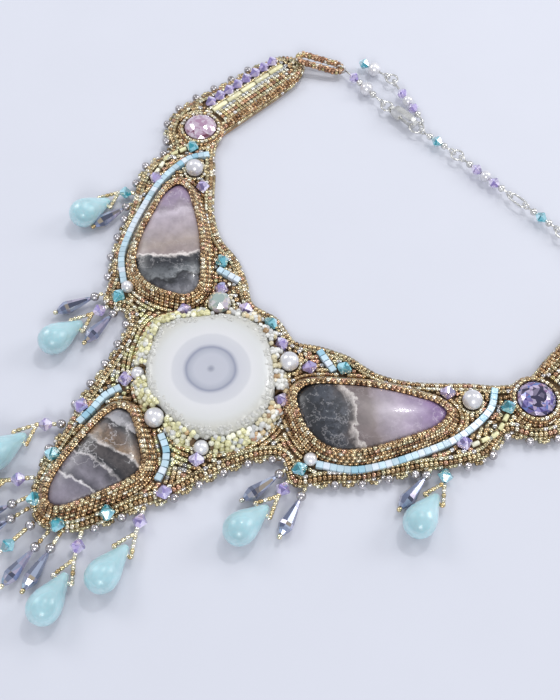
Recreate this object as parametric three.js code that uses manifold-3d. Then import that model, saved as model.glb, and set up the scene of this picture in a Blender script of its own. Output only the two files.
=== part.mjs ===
// A bead-embroidered bib necklace lying on a flat surface, modelled in millimetres with +Z up.
// The origin is on the underside of the leather backing, below the middle of the quartz slice.
// +Y runs towards the clasp at the back of the neck, and the two arms mirror each other across X = 0.

import * as THREE from 'three';
import { mergeVertices } from 'three/addons/utils/BufferGeometryUtils.js';
import Module from 'manifold-3d';

const wasm = await Module();
wasm.setup();

// Layers of the collar, from the surface up
const LEATHER = 1.0;             // leather backing
const FOUNDATION = 0.6;          // stiff cloth that the beads are sewn to
const CARPET = 1.8;              // seed beads standing on the foundation
const BED = LEATHER + FOUNDATION;
const CARPET_TOP = BED + CARPET;
const HOLE_TOP = BED + 8;         // recesses run up past the beads sewn beside them
const CARPET_INSET = 0.3;        // the carpet stops short of the leather's edge
const GAP = 0.3;                 // clearance between two pieces
const POCKET_FLOOR = 0.4;        // carpet left under a round bead
const FLOOR_GAP = 0.1;           // what lies beside the collar stays this far off the surface
const SMALLEST_EDGE = 0.02;      // shorter edges are merged where pieces are joined

// Stones
const SLICE_RADIUS = 21;         // quartz slice in the middle
const SLICE_HEIGHT = 5.8;
const ARM_STONE_LENGTH = 46;     // cabochon on each arm
const ARM_STONE_WIDTH = 23;
const PENDANT_STONE_LENGTH = 35.5;
const PENDANT_STONE_WIDTH = 21.7;
const STONE_HEIGHT = 6.2;        // crown of the cabochons above their bed
const GIRDLE_HEIGHT = 3.2;
const CRYSTAL_DIAMETER = 11.5;   // faceted crystal at the foot of each strap
const CRYSTAL_HEIGHT = 5.2;
const FIRE_BEAD_DIAMETER = 7.6;  // iridescent cut bead at the slice's upper left

// Beaded settings
const BEZEL_FOOT = 3.0;          // how far a cabochon's bezel reaches out from the stone
const BEZEL_HEIGHT = 5.4;
const BEZEL_LIP = 0.5;           // how far it leans in over the stone
const SURROUND_WIDTH = 3.3;      // beadwork round the slice
const SURROUND_HEIGHT = 3.6;
const CRYSTAL_BEZEL_FOOT = 2.3;
const CRYSTAL_BEZEL_HEIGHT = 3.3;
const STONE_SPACING = 0.6;       // between the slice's surround and the nearest bezel

// Small beads
const PEARL_LARGE = 6.0;
const PEARL_MIDDLE = 4.6;
const PEARL_SMALL = 4.0;
const BICONE = 4.0;
const CUBE = 1.8;
const CUBE_STAND = 0.5;          // how far the cubes stand above the carpet
const EDGE_BEAD = 1.2;           // seed beads along the edge that hold the fringe
const SILVER_ROUND = 3.0;
const SEED = 1.7;
const BUGLE = 2.2;
const ROLL = 2.4;                // rolled seed beadwork along each strap's inner edge

// Layout of the collar
const ARM_BEARING = 27.7;        // from the slice's middle to an arm's cabochon, degrees from +X
const ARM_TURN = 48;             // direction in which that cabochon points
const CRYSTAL_REACH = 26.8;      // from the cabochon's tip to the crystal
const STRAP_LENGTH = 50;
const STRAP_WIDTH = 15;
const STRAP_TURN = 92.3;         // direction of the strap, degrees from +X
const STRAP_BICONES = 8;
const ROWS_END = 0.86;           // share of the strap's length where its rows of beads end
const BICONE_ROW_OUT = 0.5;      // rows of the strap, as shares of its width from its axis
const ROLL_ROW_OUT = 0.28;
const POINT_MARGIN = 1.3;        // beadwork below the pendant stone's setting
const THROAT_MARGIN = 3.2;       // beadwork above the slice's surround
const OUTLINE_POINTS = 76;
const STONE_POINTS = 22;         // corners of a cabochon, its bezel and its place in the carpet
const SLICE_POINTS = 24;

// Fringe
const DROP_LENGTH = 16;
const DROP_DIAMETER = 9.5;
const DROP_HOLE = 1.3;
const DROP_HOLE_DEPTH = 2.4;     // from the drop's tip to its drilled hole
const DROP_PITCH = 16;           // a lying drop's axis rises towards its broad end, in degrees
const THREAD = 0.6;
const FORK_LENGTH = 6.4;         // the seed beads part round a drop's tip
const FORK_SPREAD = 3.1;
const CRYSTAL_DROP_LENGTH = 11;
const CRYSTAL_DROP_WIDTH = 4.4;

// Chain and clasp
const WIRE = 0.7;
const RING_DIAMETER = 5.0;
const CLASP_RING_DIAMETER = 5.8; // the ring that the clasp hooks into
const EYE_DIAMETER = 3.0;
const CHAIN_PEARL = 5.0;
const CHAIN_HEIGHT = 2.6;        // middle of the wire above the surface
const CHAIN_SILVER = 2.5;        // small silver rounds between the crystals
const LOOP_CORD = 2.2;           // copper seed beads of the loops at the strap ends
const LOOP_WIDTH = 6.2;
const LOOP_START = 0.985;        // where a loop leaves the strap, as shares of its length and width
const LOOP_OUT = 0.13;
const OVAL_LENGTH = 7.6;
const EYE_BEARING = 90;          // where the tail's eye sits on the clasp's ring, degrees from +X
const CLASP_LENGTH = 13;
const CLASP_DEPTH = 4.6;
const CLASP_THICKNESS = 2.4;
const HOOK_THICKNESS = 1.6;
const CLASP_WIRE = 1.1;
const CLASP_EYELET = 2.8;        // outer width of the ring at its root
const TRIGGER_THICKNESS = 0.8;
const TRIGGER_HUB = 2.0;
const TRIGGER_DEPTH = 0.9;
const PIVOT_PIN = 0.5;
const KNOB_DEPTH = 0.7;          // how far the trigger's knob stands below the clasp

// Outlines of the stones, as shares of half their length and half their width, from the tip round
const ARM_STONE_OUTLINE = [
  { along: 1.00, across: 0.00 },
  { along: 0.90, across: 0.28 },
  { along: 0.60, across: 0.54 },
  { along: 0.15, across: 0.82 },
  { along: -0.35, across: 0.98 },
  { along: -0.80, across: 1.00 },
  { along: -0.97, across: 0.80 },
  { along: -0.97, across: 0.25 },
  { along: -0.84, across: -0.44 },
  { along: -0.62, across: -0.86 },
  { along: -0.35, across: -1.00 },
  { along: 0.00, across: -0.93 },
  { along: 0.45, across: -0.68 },
  { along: 0.85, across: -0.38 },
];
const PENDANT_STONE_OUTLINE = [
  { along: 1.00, across: -0.02 },
  { along: 0.88, across: 0.32 },
  { along: 0.45, across: 0.62 },
  { along: 0.05, across: 0.86 },
  { along: -0.30, across: 1.00 },
  { along: -0.52, across: 0.93 },
  { along: -0.70, across: 0.52 },
  { along: -0.90, across: -0.10 },
  { along: -1.00, across: -0.58 },
  { along: -0.90, across: -0.92 },
  { along: -0.60, across: -1.00 },
  { along: -0.20, across: -0.90 },
  { along: 0.30, across: -0.75 },
  { along: 0.72, across: -0.50 },
  { along: 0.92, across: -0.26 },
];
// The slice's rough rim, as shares of its radius at even bearings from +X
const SLICE_RIM = [
  1.08, 1.00, 0.92, 0.935, 1.01, 0.97, 0.905, 0.93,
  1.055, 0.975, 0.94, 0.95, 0.905, 0.995, 1.075, 1.09,
];

// Profiles of the stones: the share of the outline's size, and the share of the stone's height
const CABOCHON_PROFILE = [
  { size: 0.93, height: 0.66 },
  { size: 0.74, height: 0.86 },
  { size: 0.42, height: 0.97 },
];
const SLICE_PROFILE = [
  { size: 0.965, height: 0.00 },
  { size: 1.00, height: 0.20 },
  { size: 1.00, height: 0.72 },
  { size: 0.90, height: 0.98 },
];
const DROP_PROFILE = [
  { along: 0.02, radius: 0.20 },
  { along: 0.26, radius: 0.54 },
  { along: 0.52, radius: 0.90 },
  { along: 0.71, radius: 1.00 },
  { along: 0.92, radius: 0.72 },
];

// The collar's edge, right half. A row is a stone, a bearing in degrees from the stone's own axis and
// the width of beadwork outside the stone's setting. The outer edge runs from the strap to the point.
const OUTER_EDGE = [
  { stone: 'arm', bearing: -1, margin: 16.6 },
  { stone: 'arm', bearing: -4, margin: 12.6 },
  { stone: 'arm', bearing: -9, margin: 10.6 },
  { stone: 'arm', bearing: -17, margin: 7.4 },
  { stone: 'arm', bearing: -27, margin: 5.8 },
  { stone: 'arm', bearing: -48, margin: 4.7 },
  { stone: 'arm', bearing: -76, margin: 4.0 },
  { stone: 'arm', bearing: -110, margin: 3.9 },
  { stone: 'arm', bearing: -127, margin: 4.1 },
  { stone: 'arm', bearing: -142, margin: 5.4 },
  { stone: 'arm', bearing: -149, margin: 8.6 },
  { stone: 'arm', bearing: -155, margin: 10.4 },
  { stone: 'arm', bearing: -162, margin: 7.6 },
  { stone: 'slice', bearing: -5, margin: 7.0 },
  { stone: 'slice', bearing: -15, margin: 4.5 },
  { stone: 'slice', bearing: -26, margin: 3.9 },
  { stone: 'slice', bearing: -36, margin: 4.9 },
  { stone: 'slice', bearing: -43, margin: 7.2 },
  { stone: 'slice', bearing: -49, margin: 10.1 },
  { stone: 'pendant', bearing: 128, margin: 8.7 },
  { stone: 'pendant', bearing: 120, margin: 5.2 },
  { stone: 'pendant', bearing: 105, margin: 3.2 },
  { stone: 'pendant', bearing: 81, margin: 3.0 },
  { stone: 'pendant', bearing: 50, margin: 3.0 },
  { stone: 'pendant', bearing: 26, margin: 2.4 },
  { stone: 'pendant', bearing: 14, margin: 1.9 },
  { stone: 'pendant', bearing: 6, margin: 1.9 },
];
const INNER_EDGE = [
  { stone: 'slice', bearing: 81, margin: 3.7 },
  { stone: 'slice', bearing: 66, margin: 5.9 },
  { stone: 'slice', bearing: 64, margin: 9.5 },
  { stone: 'arm', bearing: 139, margin: 10.3 },
  { stone: 'arm', bearing: 131, margin: 9.5 },
  { stone: 'arm', bearing: 122, margin: 7.9 },
  { stone: 'arm', bearing: 107, margin: 5.0 },
  { stone: 'arm', bearing: 86, margin: 2.9 },
  { stone: 'arm', bearing: 60, margin: 1.7 },
  { stone: 'arm', bearing: 42, margin: 1.7 },
  { stone: 'arm', bearing: 22, margin: 3.0 },
  { stone: 'arm', bearing: 12, margin: 4.6 },
  { stone: 'arm', bearing: 7, margin: 7.5 },
  { stone: 'arm', bearing: 4, margin: 12.0 },
];
// Edges of the strap: the share of its length from the crystal, and shares of its width to each side
const STRAP_EDGE = [
  { along: -0.17, outer: 0.61, inner: null },
  { along: 0.00, outer: 0.82, inner: 0.43 },
  { along: 0.15, outer: 0.83, inner: 0.37 },
  { along: 0.32, outer: 0.77, inner: 0.36 },
  { along: 0.50, outer: 0.71, inner: 0.36 },
  { along: 0.68, outer: 0.67, inner: 0.35 },
  { along: 0.84, outer: 0.62, inner: 0.31 },
  { along: 0.95, outer: 0.46, inner: 0.17 },
  { along: 1.00, outer: 0.26, inner: -0.04 },
];

// Cube bead rows, as routes beside a stone's setting
const CUBE_ROW_OUTER = [
  { stone: 'arm', bearing: -143, margin: 0.2 },
  { stone: 'arm', bearing: -118, margin: 0.1 },
  { stone: 'arm', bearing: -76, margin: 0.1 },
  { stone: 'arm', bearing: -34, margin: 0.1 },
  { stone: 'arm', bearing: -13, margin: 0.6 },
  { stone: 'arm', bearing: -3, margin: 3.0 },
  { stone: 'arm', bearing: 0, margin: 8.3 },
  { stone: 'arm', bearing: 1, margin: 12.0 },
];
const CUBE_ROW_INNER = [
  { stone: 'arm', bearing: 139, margin: 6.6 },
  { stone: 'arm', bearing: 133, margin: 1.2 },
];
const CUBE_ROW_PENDANT_LEFT = [
  { stone: 'pendant', bearing: -120, margin: 0.6 },
  { stone: 'pendant', bearing: -133, margin: 0.4 },
  { stone: 'pendant', bearing: -143, margin: 1.6 },
  { stone: 'pendant', bearing: -148, margin: 2.5 },
];
const CUBE_ROW_PENDANT_RIGHT = [
  { stone: 'pendant', bearing: 166, margin: 1.6 },
  { stone: 'pendant', bearing: 147, margin: 1.9 },
  { stone: 'pendant', bearing: 136, margin: 1.2 },
  { stone: 'pendant', bearing: 126, margin: 0.4 },
];

// Pearls: a place beside a stone's setting, with their diameter
const ARM_PEARLS = [
  { name: 'pearl_tip', stone: 'arm', bearing: 2, margin: 5.1, size: PEARL_LARGE },
];
const SLICE_PEARLS = [
  { name: 'pearl_slice_upper', stone: 'slice', bearing: 53, margin: 1.4, size: PEARL_LARGE },
  { name: 'pearl_slice_lower', stone: 'slice', bearing: -89, margin: 0.1, size: PEARL_LARGE },
  { name: 'pearl_slice_right', stone: 'slice', bearing: -48, margin: -0.6, size: PEARL_MIDDLE },
  { name: 'pearl_slice_left', stone: 'slice', bearing: -133, margin: -0.9, size: PEARL_SMALL },
];
// Small beads sewn into the carpet and fused to it. `turn` is the direction of their hole in degrees from +X.
const ARM_BEADS = [
  { kind: 'bicone', stone: 'arm', bearing: 0, margin: 15.1, turn: 60 },
  { kind: 'bicone', stone: 'arm', bearing: 122, margin: 2.9, turn: 20 },
  { kind: 'bicone', stone: 'arm', bearing: -152, margin: 5.5, turn: 70 },
  { kind: 'bicone', stone: 'arm', bearing: -9, margin: 4.7, turn: 60 },
  { kind: 'bicone', stone: 'arm', bearing: 9, margin: 2.2, turn: 40 },
  { kind: 'bicone', stone: 'arm', bearing: 145, margin: 3.2, turn: 60 },
  { kind: 'pearl', stone: 'arm', bearing: -150, margin: 1.5, turn: 0 },
];
// The surround of the slice leaves room for these
const SLICE_BEADS = [
  { kind: 'bicone', stone: 'slice', bearing: 161, margin: 0.7, turn: 70 },
  { kind: 'bicone', stone: 'slice', bearing: 111, margin: 0.8, turn: 20 },
  { kind: 'bicone', stone: 'slice', bearing: 91, margin: 0.4, turn: 0 },
  { kind: 'bicone', stone: 'slice', bearing: 74, margin: 0.4, turn: -20 },
  { kind: 'bicone', stone: 'slice', bearing: 22, margin: -1.0, turn: -70 },
];
const LOWER_BEADS = [
  { kind: 'bicone', stone: 'slice', bearing: -50, margin: 2.9, turn: 40 },
  { kind: 'bicone', stone: 'slice', bearing: -130, margin: 2.9, turn: -40 },
];
const PENDANT_BEADS = [
  { kind: 'bicone', stone: 'pendant', bearing: 121, margin: 5.2, turn: 60 },
  { kind: 'bicone', stone: 'pendant', bearing: 54, margin: 1.8, turn: -36 },
  { kind: 'bicone', stone: 'pendant', bearing: 11, margin: 0.5, turn: -60 },
];

// Fringe. Each strand leaves the collar's edge nearest to its place beside a stone. `heading` and `strand`
// lead to its drop's hole or its crystal's top, and `drop` is the lying drop's own heading, in degrees from
// +X on the right-hand half. The edge beads between the first and the last strand hold them all.
const ARM_OUTER_FRINGE = [
  { kind: 'drop', stone: 'arm', bearing: -19, margin: 7.4, heading: -70, strand: 10.6, drop: -79, dropLeft: -92 },
  { kind: 'crystal', stone: 'arm', bearing: -29, margin: 5.8, heading: -84, strand: 3.4 },
];
const ARM_INNER_FRINGE = [
  { kind: 'crystal', stone: 'arm', bearing: -146, margin: 8.0, heading: -72, strand: 4.4 },
  { kind: 'drop', stone: 'arm', bearing: -153, margin: 10.2, heading: -84, strand: 11.6, drop: -90, dropLeft: -92 },
  { kind: 'crystal', stone: 'arm', bearing: -159, margin: 9.8, heading: -98, strand: 3.4 },
];
const PENDANT_FRINGE = [
  { kind: 'drop', stone: 'pendant', bearing: 106, margin: 3.2, heading: -66, strand: 14.0, drop: -76, dropLeft: -92 },
  { kind: 'drop', stone: 'pendant', bearing: 24, margin: 2.4, heading: -60, strand: 14.4, drop: -68, dropLeft: -70 },
  { kind: 'crystal', stone: 'pendant', bearing: 13, margin: 1.9, heading: -72, strand: 6.4 },
  { kind: 'crystal', stone: 'pendant', bearing: 6.5, margin: 1.9, heading: -80, strand: 7.2 },
];
const POINT_FRINGE = [
  { kind: 'drop', stone: 'pendant', bearing: 0, margin: 1.6, heading: -89, strand: 20.6, drop: -90, dropLeft: -90 },
];

// Chain: the middles of its rings on the surface, and the strap loops' far ends, chosen by hand
const CHAIN_ROUTE = {
  loopLeft: { x: -60.6, y: 120.6 },
  ringLeft: { x: -36.1, y: 119.3 },
  ringMiddle: { x: -3.3, y: 119.8 },
  oval: { x: 24.0, y: 119.2 },
  ringRight: { x: 42.9, y: 119.0 },
  loopRight: { x: 60.6, y: 120.6 },
  ringTail: { x: -44.0, y: 130.6 },
  tailEnd: { x: -58.4, y: 128.6 },
};

// Outline tools

const degrees = THREE.MathUtils.degToRad;

function polar(radius, angle) {
  return new THREE.Vector2(Math.cos(degrees(angle)), Math.sin(degrees(angle))).multiplyScalar(radius);
}

// Evenly spaced points of the smooth closed curve through a few corners
function smoothLoop(corners, count) {
  const lifted = corners.map((corner) => new THREE.Vector3(corner.x, corner.y, 0));
  const curve = new THREE.CatmullRomCurve3(lifted, true, 'centripetal');
  return curve.getSpacedPoints(count).slice(0, count).map((point) => new THREE.Vector2(point.x, point.y));
}

// The same outline on the other side of the necklace, still anticlockwise
function mirrorOutline(points, side) {
  return side > 0 ? points : points.map((point) => new THREE.Vector2(-point.x, point.y)).reverse();
}

// A closed outline's points moved out along their normals
function grown(points, distance) {
  return points.map((point, i) => {
    const before = points[(i + points.length - 1) % points.length];
    const after = points[(i + 1) % points.length];
    const tangent = after.clone().sub(before).normalize();
    return new THREE.Vector2(point.x + tangent.y * distance, point.y - tangent.x * distance);
  });
}

// A stone set flat on the collar. Its outline is given round its own middle, with its tip along its turn.
class SetStone {
  constructor(corners, middle, turn, foot) {
    this.middle = middle;
    this.turn = turn;
    this.foot = foot;
    this.corners = corners.map((corner) => corner.clone().rotateAround(new THREE.Vector2(), degrees(turn)).add(middle));
    this.fine = smoothLoop(this.corners, 360);
    this.edges = new Map();
  }

  outline(count, distance = 0) {
    return grown(smoothLoop(this.corners, count), distance);
  }

  // The place outside the setting's foot at a bearing from the stone's own axis
  spot(bearing, margin) {
    const wanted = polar(1, this.turn + bearing);
    let best = -Infinity;
    let at = 0;
    this.fine.forEach((point, i) => {
      const alignment = point.clone().sub(this.middle).normalize().dot(wanted);
      if (alignment > best) {
        best = alignment;
        at = i;
      }
    });
    const before = this.fine[(at + this.fine.length - 2) % this.fine.length];
    const after = this.fine[(at + 2) % this.fine.length];
    const tangent = after.clone().sub(before).normalize();
    const reach = this.foot + margin;
    return new THREE.Vector2(this.fine[at].x + tangent.y * reach, this.fine[at].y - tangent.x * reach);
  }

  reach(angle) {
    return this.spot(angle - this.turn, -this.foot).distanceTo(this.middle);
  }
}

function cornersOf(table, length, width) {
  return table.map((row) => new THREE.Vector2(row.along * length / 2, row.across * width / 2));
}

const sliceCorners = SLICE_RIM.map((share, i) => polar(share * SLICE_RADIUS, i * 360 / SLICE_RIM.length));
const slice = new SetStone(sliceCorners, new THREE.Vector2(), 0, SURROUND_WIDTH);

const armReach = slice.reach(ARM_BEARING) + SURROUND_WIDTH + STONE_SPACING + BEZEL_FOOT + ARM_STONE_LENGTH / 2;
const armStone = new SetStone(
  cornersOf(ARM_STONE_OUTLINE, ARM_STONE_LENGTH, ARM_STONE_WIDTH),
  polar(armReach, ARM_BEARING), ARM_TURN, BEZEL_FOOT,
);

const pendantReach = slice.reach(-90) + SURROUND_WIDTH + STONE_SPACING + BEZEL_FOOT + PENDANT_STONE_LENGTH / 2;
const pendantStone = new SetStone(
  cornersOf(PENDANT_STONE_OUTLINE, PENDANT_STONE_LENGTH, PENDANT_STONE_WIDTH),
  new THREE.Vector2(0, -pendantReach), -90, BEZEL_FOOT,
);

const stones = { slice, arm: armStone, pendant: pendantStone };

function spotOf(row, extra = 0) {
  return stones[row.stone].spot(row.bearing, row.margin + extra);
}

const fireBeadSpot = slice.spot(129, 1.3);

// Strap frame: `along` runs from the crystal towards the clasp, `out` away from the neck
const crystalMiddle = armStone.spot(1, CRYSTAL_REACH - BEZEL_FOOT);
const strapAlong = polar(1, STRAP_TURN);
const strapOut = polar(1, STRAP_TURN - 90);

function onStrap(out, along) {
  return crystalMiddle.clone().addScaledVector(strapOut, out).addScaledVector(strapAlong, along);
}

// Solid tools

function solidOf(geometry) {
  const bare = geometry.clone();
  bare.deleteAttribute('normal');
  bare.deleteAttribute('uv');
  const merged = mergeVertices(bare, 1e-4);
  return new wasm.Manifold(new wasm.Mesh({
    numProp: 3,
    vertProperties: new Float32Array(merged.attributes.position.array),
    triVerts: new Uint32Array(merged.index.array),
  }));
}

function geometryOf(solid) {
  const mesh = solid.getMesh();
  const geometry = new THREE.BufferGeometry();
  geometry.setAttribute('position', new THREE.BufferAttribute(mesh.vertProperties, 3));
  geometry.setIndex(new THREE.BufferAttribute(mesh.triVerts, 1));
  geometry.computeVertexNormals();
  return geometry;
}

// Joins pieces into one body, without the slivers that crossing rods can leave inside or on its surface
function fused(geometries) {
  const whole = geometries.map(solidOf).reduce((sum, piece) => sum.add(piece)).simplify(SMALLEST_EDGE);
  return geometryOf(wasm.Manifold.compose(whole.decompose().filter((body) => Math.abs(body.volume()) > 0.01)));
}

function cut(geometry, tools) {
  return geometryOf(tools.map(solidOf).reduce((whole, tool) => whole.subtract(tool), solidOf(geometry)));
}

function indexed(vertices, faces) {
  const geometry = new THREE.BufferGeometry();
  geometry.setAttribute('position', new THREE.Float32BufferAttribute(vertices.flatMap((v) => [v.x, v.y, v.z]), 3));
  geometry.setIndex(faces.flat());
  geometry.computeVertexNormals();
  return geometry;
}

// A closed body through rings of equally many points, lowest first, with a point at each end's middle
function stacked(rings) {
  const count = rings[0].length;
  const vertices = rings.flat();
  const faces = [];
  for (let level = 0; level + 1 < rings.length; level += 1) {
    for (let i = 0; i < count; i += 1) {
      const a = level * count + i;
      const b = level * count + (i + 1) % count;
      faces.push([a, b, b + count], [a, b + count, a + count]);
    }
  }
  for (const [level, flip] of [[0, true], [rings.length - 1, false]]) {
    const middle = rings[level].reduce((sum, v) => sum.add(v), new THREE.Vector3()).divideScalar(count);
    const hub = vertices.push(middle) - 1;
    for (let i = 0; i < count; i += 1) {
      const a = level * count + i;
      const b = level * count + (i + 1) % count;
      faces.push(flip ? [b, a, hub] : [a, b, hub]);
    }
  }
  return indexed(vertices, faces);
}

// A closed ring of beadwork round an outline. The section's points run anticlockwise as seen with the
// outside of the stone to the right: `out` from the stone's rim and `up` from the bed.
function surround(stone, side, count, section) {
  const rings = section.map((point) => mirrorOutline(stone.outline(count, point.out), side)
    .map((spot) => new THREE.Vector3(spot.x, spot.y, BED + point.up)));
  const vertices = rings.flat();
  const faces = [];
  for (let level = 0; level < rings.length; level += 1) {
    const next = (level + 1) % rings.length;
    for (let i = 0; i < count; i += 1) {
      const j = (i + 1) % count;
      faces.push([level * count + i, level * count + j, next * count + j]);
      faces.push([level * count + i, next * count + j, next * count + i]);
    }
  }
  return indexed(vertices, faces);
}

function plate(outline, low, high) {
  const geometry = new THREE.ExtrudeGeometry(new THREE.Shape(outline), { depth: high - low, bevelEnabled: false });
  return geometry.translate(0, 0, low);
}

// A straight bar of rectangular section between two spots
function bar(from, to, width, low, high) {
  const length = from.distanceTo(to);
  const middle = from.clone().add(to).multiplyScalar(0.5);
  const geometry = new THREE.BoxGeometry(length, width, high - low);
  geometry.rotateZ(Math.atan2(to.y - from.y, to.x - from.x));
  return geometry.translate(middle.x, middle.y, (low + high) / 2);
}

// A band of rectangular section along a route, with square ends
function band(route, width, low, high) {
  const count = route.length;
  const sides = route.map((point, i) => {
    const before = route[Math.max(i - 1, 0)];
    const after = route[Math.min(i + 1, count - 1)];
    const tangent = after.clone().sub(before).normalize();
    return new THREE.Vector2(tangent.y, -tangent.x).multiplyScalar(width / 2);
  });
  const right = route.map((point, i) => point.clone().add(sides[i]));
  const left = route.map((point, i) => point.clone().sub(sides[i]));
  return plate([...right, ...left.reverse()], low, high);
}

function smoothRoute(spots, count) {
  const curve = new THREE.CatmullRomCurve3(spots.map((p) => new THREE.Vector3(p.x, p.y, 0)), false, 'centripetal');
  return curve.getSpacedPoints(count).map((point) => new THREE.Vector2(point.x, point.y));
}

// A turned body whose axis runs from one place to another. Rows give `along` and `radius`.
function turned(rows, sides, from, to) {
  const length = from.distanceTo(to);
  const profile = [new THREE.Vector2(0, 0), ...rows.map((row) => new THREE.Vector2(row.radius, row.along)),
    new THREE.Vector2(0, length)];
  const geometry = new THREE.LatheGeometry(profile, sides);
  const direction = to.clone().sub(from).normalize();
  const aim = new THREE.Quaternion().setFromUnitVectors(new THREE.Vector3(0, 1, 0), direction);
  return geometry.applyQuaternion(aim).translate(from.x, from.y, from.z);
}

function rod(radius, sides, from, to) {
  const length = from.distanceTo(to);
  return turned([{ along: 0, radius }, { along: length, radius }], sides, from, to);
}

function lifted(spot, z) {
  return new THREE.Vector3(spot.x, spot.y, z);
}

function mirrored(spot, side) {
  return new THREE.Vector2(spot.x * side, spot.y);
}

// Pieces

const necklace = new THREE.Group();
necklace.name = 'bib_necklace';

function finish(color, roughness, metalness = 0) {
  return new THREE.MeshStandardMaterial({ color, roughness, metalness });
}

const leather = finish(0xb58f6a, 0.8);
const bronzeBeads = finish(0xa5793f, 0.35, 0.6);
const goldBeads = finish(0xd9b266, 0.3, 0.7);
const creamBeads = finish(0xeee2b4, 0.4);
const agate = finish(0x8d8090, 0.15);
const quartz = finish(0xf1f0f2, 0.3);
const pinkCrystal = finish(0xd3a6bd, 0.08);
const blueCrystal = finish(0x7d78b8, 0.08);
const violetCrystal = finish(0xa99ad8, 0.08);
const silverPearl = finish(0xd8dadf, 0.2, 0.3);
const aquaGlass = finish(0x9fe3e6, 0.2);
const smokyGlass = finish(0x7d86a8, 0.08);
const silver = finish(0xdfe0df, 0.2, 1);

const SIDES = [{ side: 1, name: 'right' }, { side: -1, name: 'left' }];

function addPiece(name, geometry, material) {
  const mesh = new THREE.Mesh(geometry, material);
  mesh.name = name;
  necklace.add(mesh);
  return mesh;
}

// The collar's outline, anticlockwise from the point at the bottom
function collarOutline(inset, count) {
  const outer = OUTER_EDGE.map((row) => spotOf(row)).reverse();
  const strapOuter = STRAP_EDGE.map((row) => onStrap(row.outer * STRAP_WIDTH, row.along * STRAP_LENGTH));
  const strapInner = STRAP_EDGE.filter((row) => row.inner !== null)
    .map((row) => onStrap(-row.inner * STRAP_WIDTH, row.along * STRAP_LENGTH)).reverse();
  const inner = INNER_EDGE.map((row) => spotOf(row)).reverse();
  const right = [...outer, ...strapOuter, ...strapInner, ...inner];
  const point = new THREE.Vector2(0, pendantStone.spot(0, POINT_MARGIN).y);
  const throat = new THREE.Vector2(0, slice.spot(90, THROAT_MARGIN).y);
  return grown(smoothLoop([point, ...right, throat, ...mirrorOutline(right, -1)], count), -inset);
}

// Collar

// The strap's rows of beads: distances out from its axis, and where they start and end along it
const rowsStart = CRYSTAL_DIAMETER / 2 + CRYSTAL_BEZEL_FOOT + 3 * GAP;
const rowsEnd = STRAP_LENGTH * ROWS_END;
const biconeRowOut = STRAP_WIDTH * BICONE_ROW_OUT;
const creamRowOut = biconeRowOut - BICONE / 2 - GAP - BUGLE / 2;
const rollOut = -STRAP_WIDTH * ROLL_ROW_OUT;
const goldRowOut = rollOut + (ROLL + BUGLE) / 2 - 0.6;

function buildBacking() {
  addPiece('backing', plate(collarOutline(0, OUTLINE_POINTS), 0, LEATHER), leather);
}

// A strap's trench in the carpet, where its rows of beads stand on the foundation
function strapTrench(side, outer, inner) {
  const middle = (outer + inner) / 2;
  const from = mirrored(onStrap(middle, rowsStart - GAP), side);
  const to = mirrored(onStrap(middle, STRAP_LENGTH * 1.1), side);
  return bar(from, to, outer - inner, BED, HOLE_TOP);
}

// Room in the beadwork for a round bead that sits down in it
function pocket(spot, size, floor = POCKET_FLOOR) {
  const sides = 6;
  const radius = (size / 2 + GAP) / Math.cos(Math.PI / sides);
  const height = HOLE_TOP - BED;
  const geometry = new THREE.CylinderGeometry(radius, radius, height, sides).rotateX(Math.PI / 2);
  return geometry.translate(spot.x, spot.y, BED + floor + height / 2);
}

function roundHole(spot, radius) {
  const sides = 12;
  const height = HOLE_TOP - BED;
  const geometry = new THREE.CylinderGeometry(radius, radius, height, sides).rotateX(Math.PI / 2);
  return geometry.translate(spot.x, spot.y, BED + height / 2);
}

function smallBead(row, side) {
  const spot = mirrored(spotOf(row), side);
  if (row.kind === 'pearl') {
    const pearl = new THREE.SphereGeometry(PEARL_SMALL / 2, 8, 4).rotateX(Math.PI / 2);
    return pearl.translate(spot.x, spot.y, CARPET_TOP + PEARL_SMALL * 0.3);
  }
  const half = polar(BICONE / 2, side > 0 ? row.turn : 180 - row.turn);
  return turned([{ along: BICONE / 2, radius: BICONE / 2 }], 6,
    lifted(spot.clone().sub(half), CARPET_TOP), lifted(spot.clone().add(half), CARPET_TOP));
}

function cubeRoute(rows, side) {
  const spots = rows.map((row) => mirrored(spotOf(row, GAP + CUBE / 2), side));
  return smoothRoute(spots, rows.length * 2);
}

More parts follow.
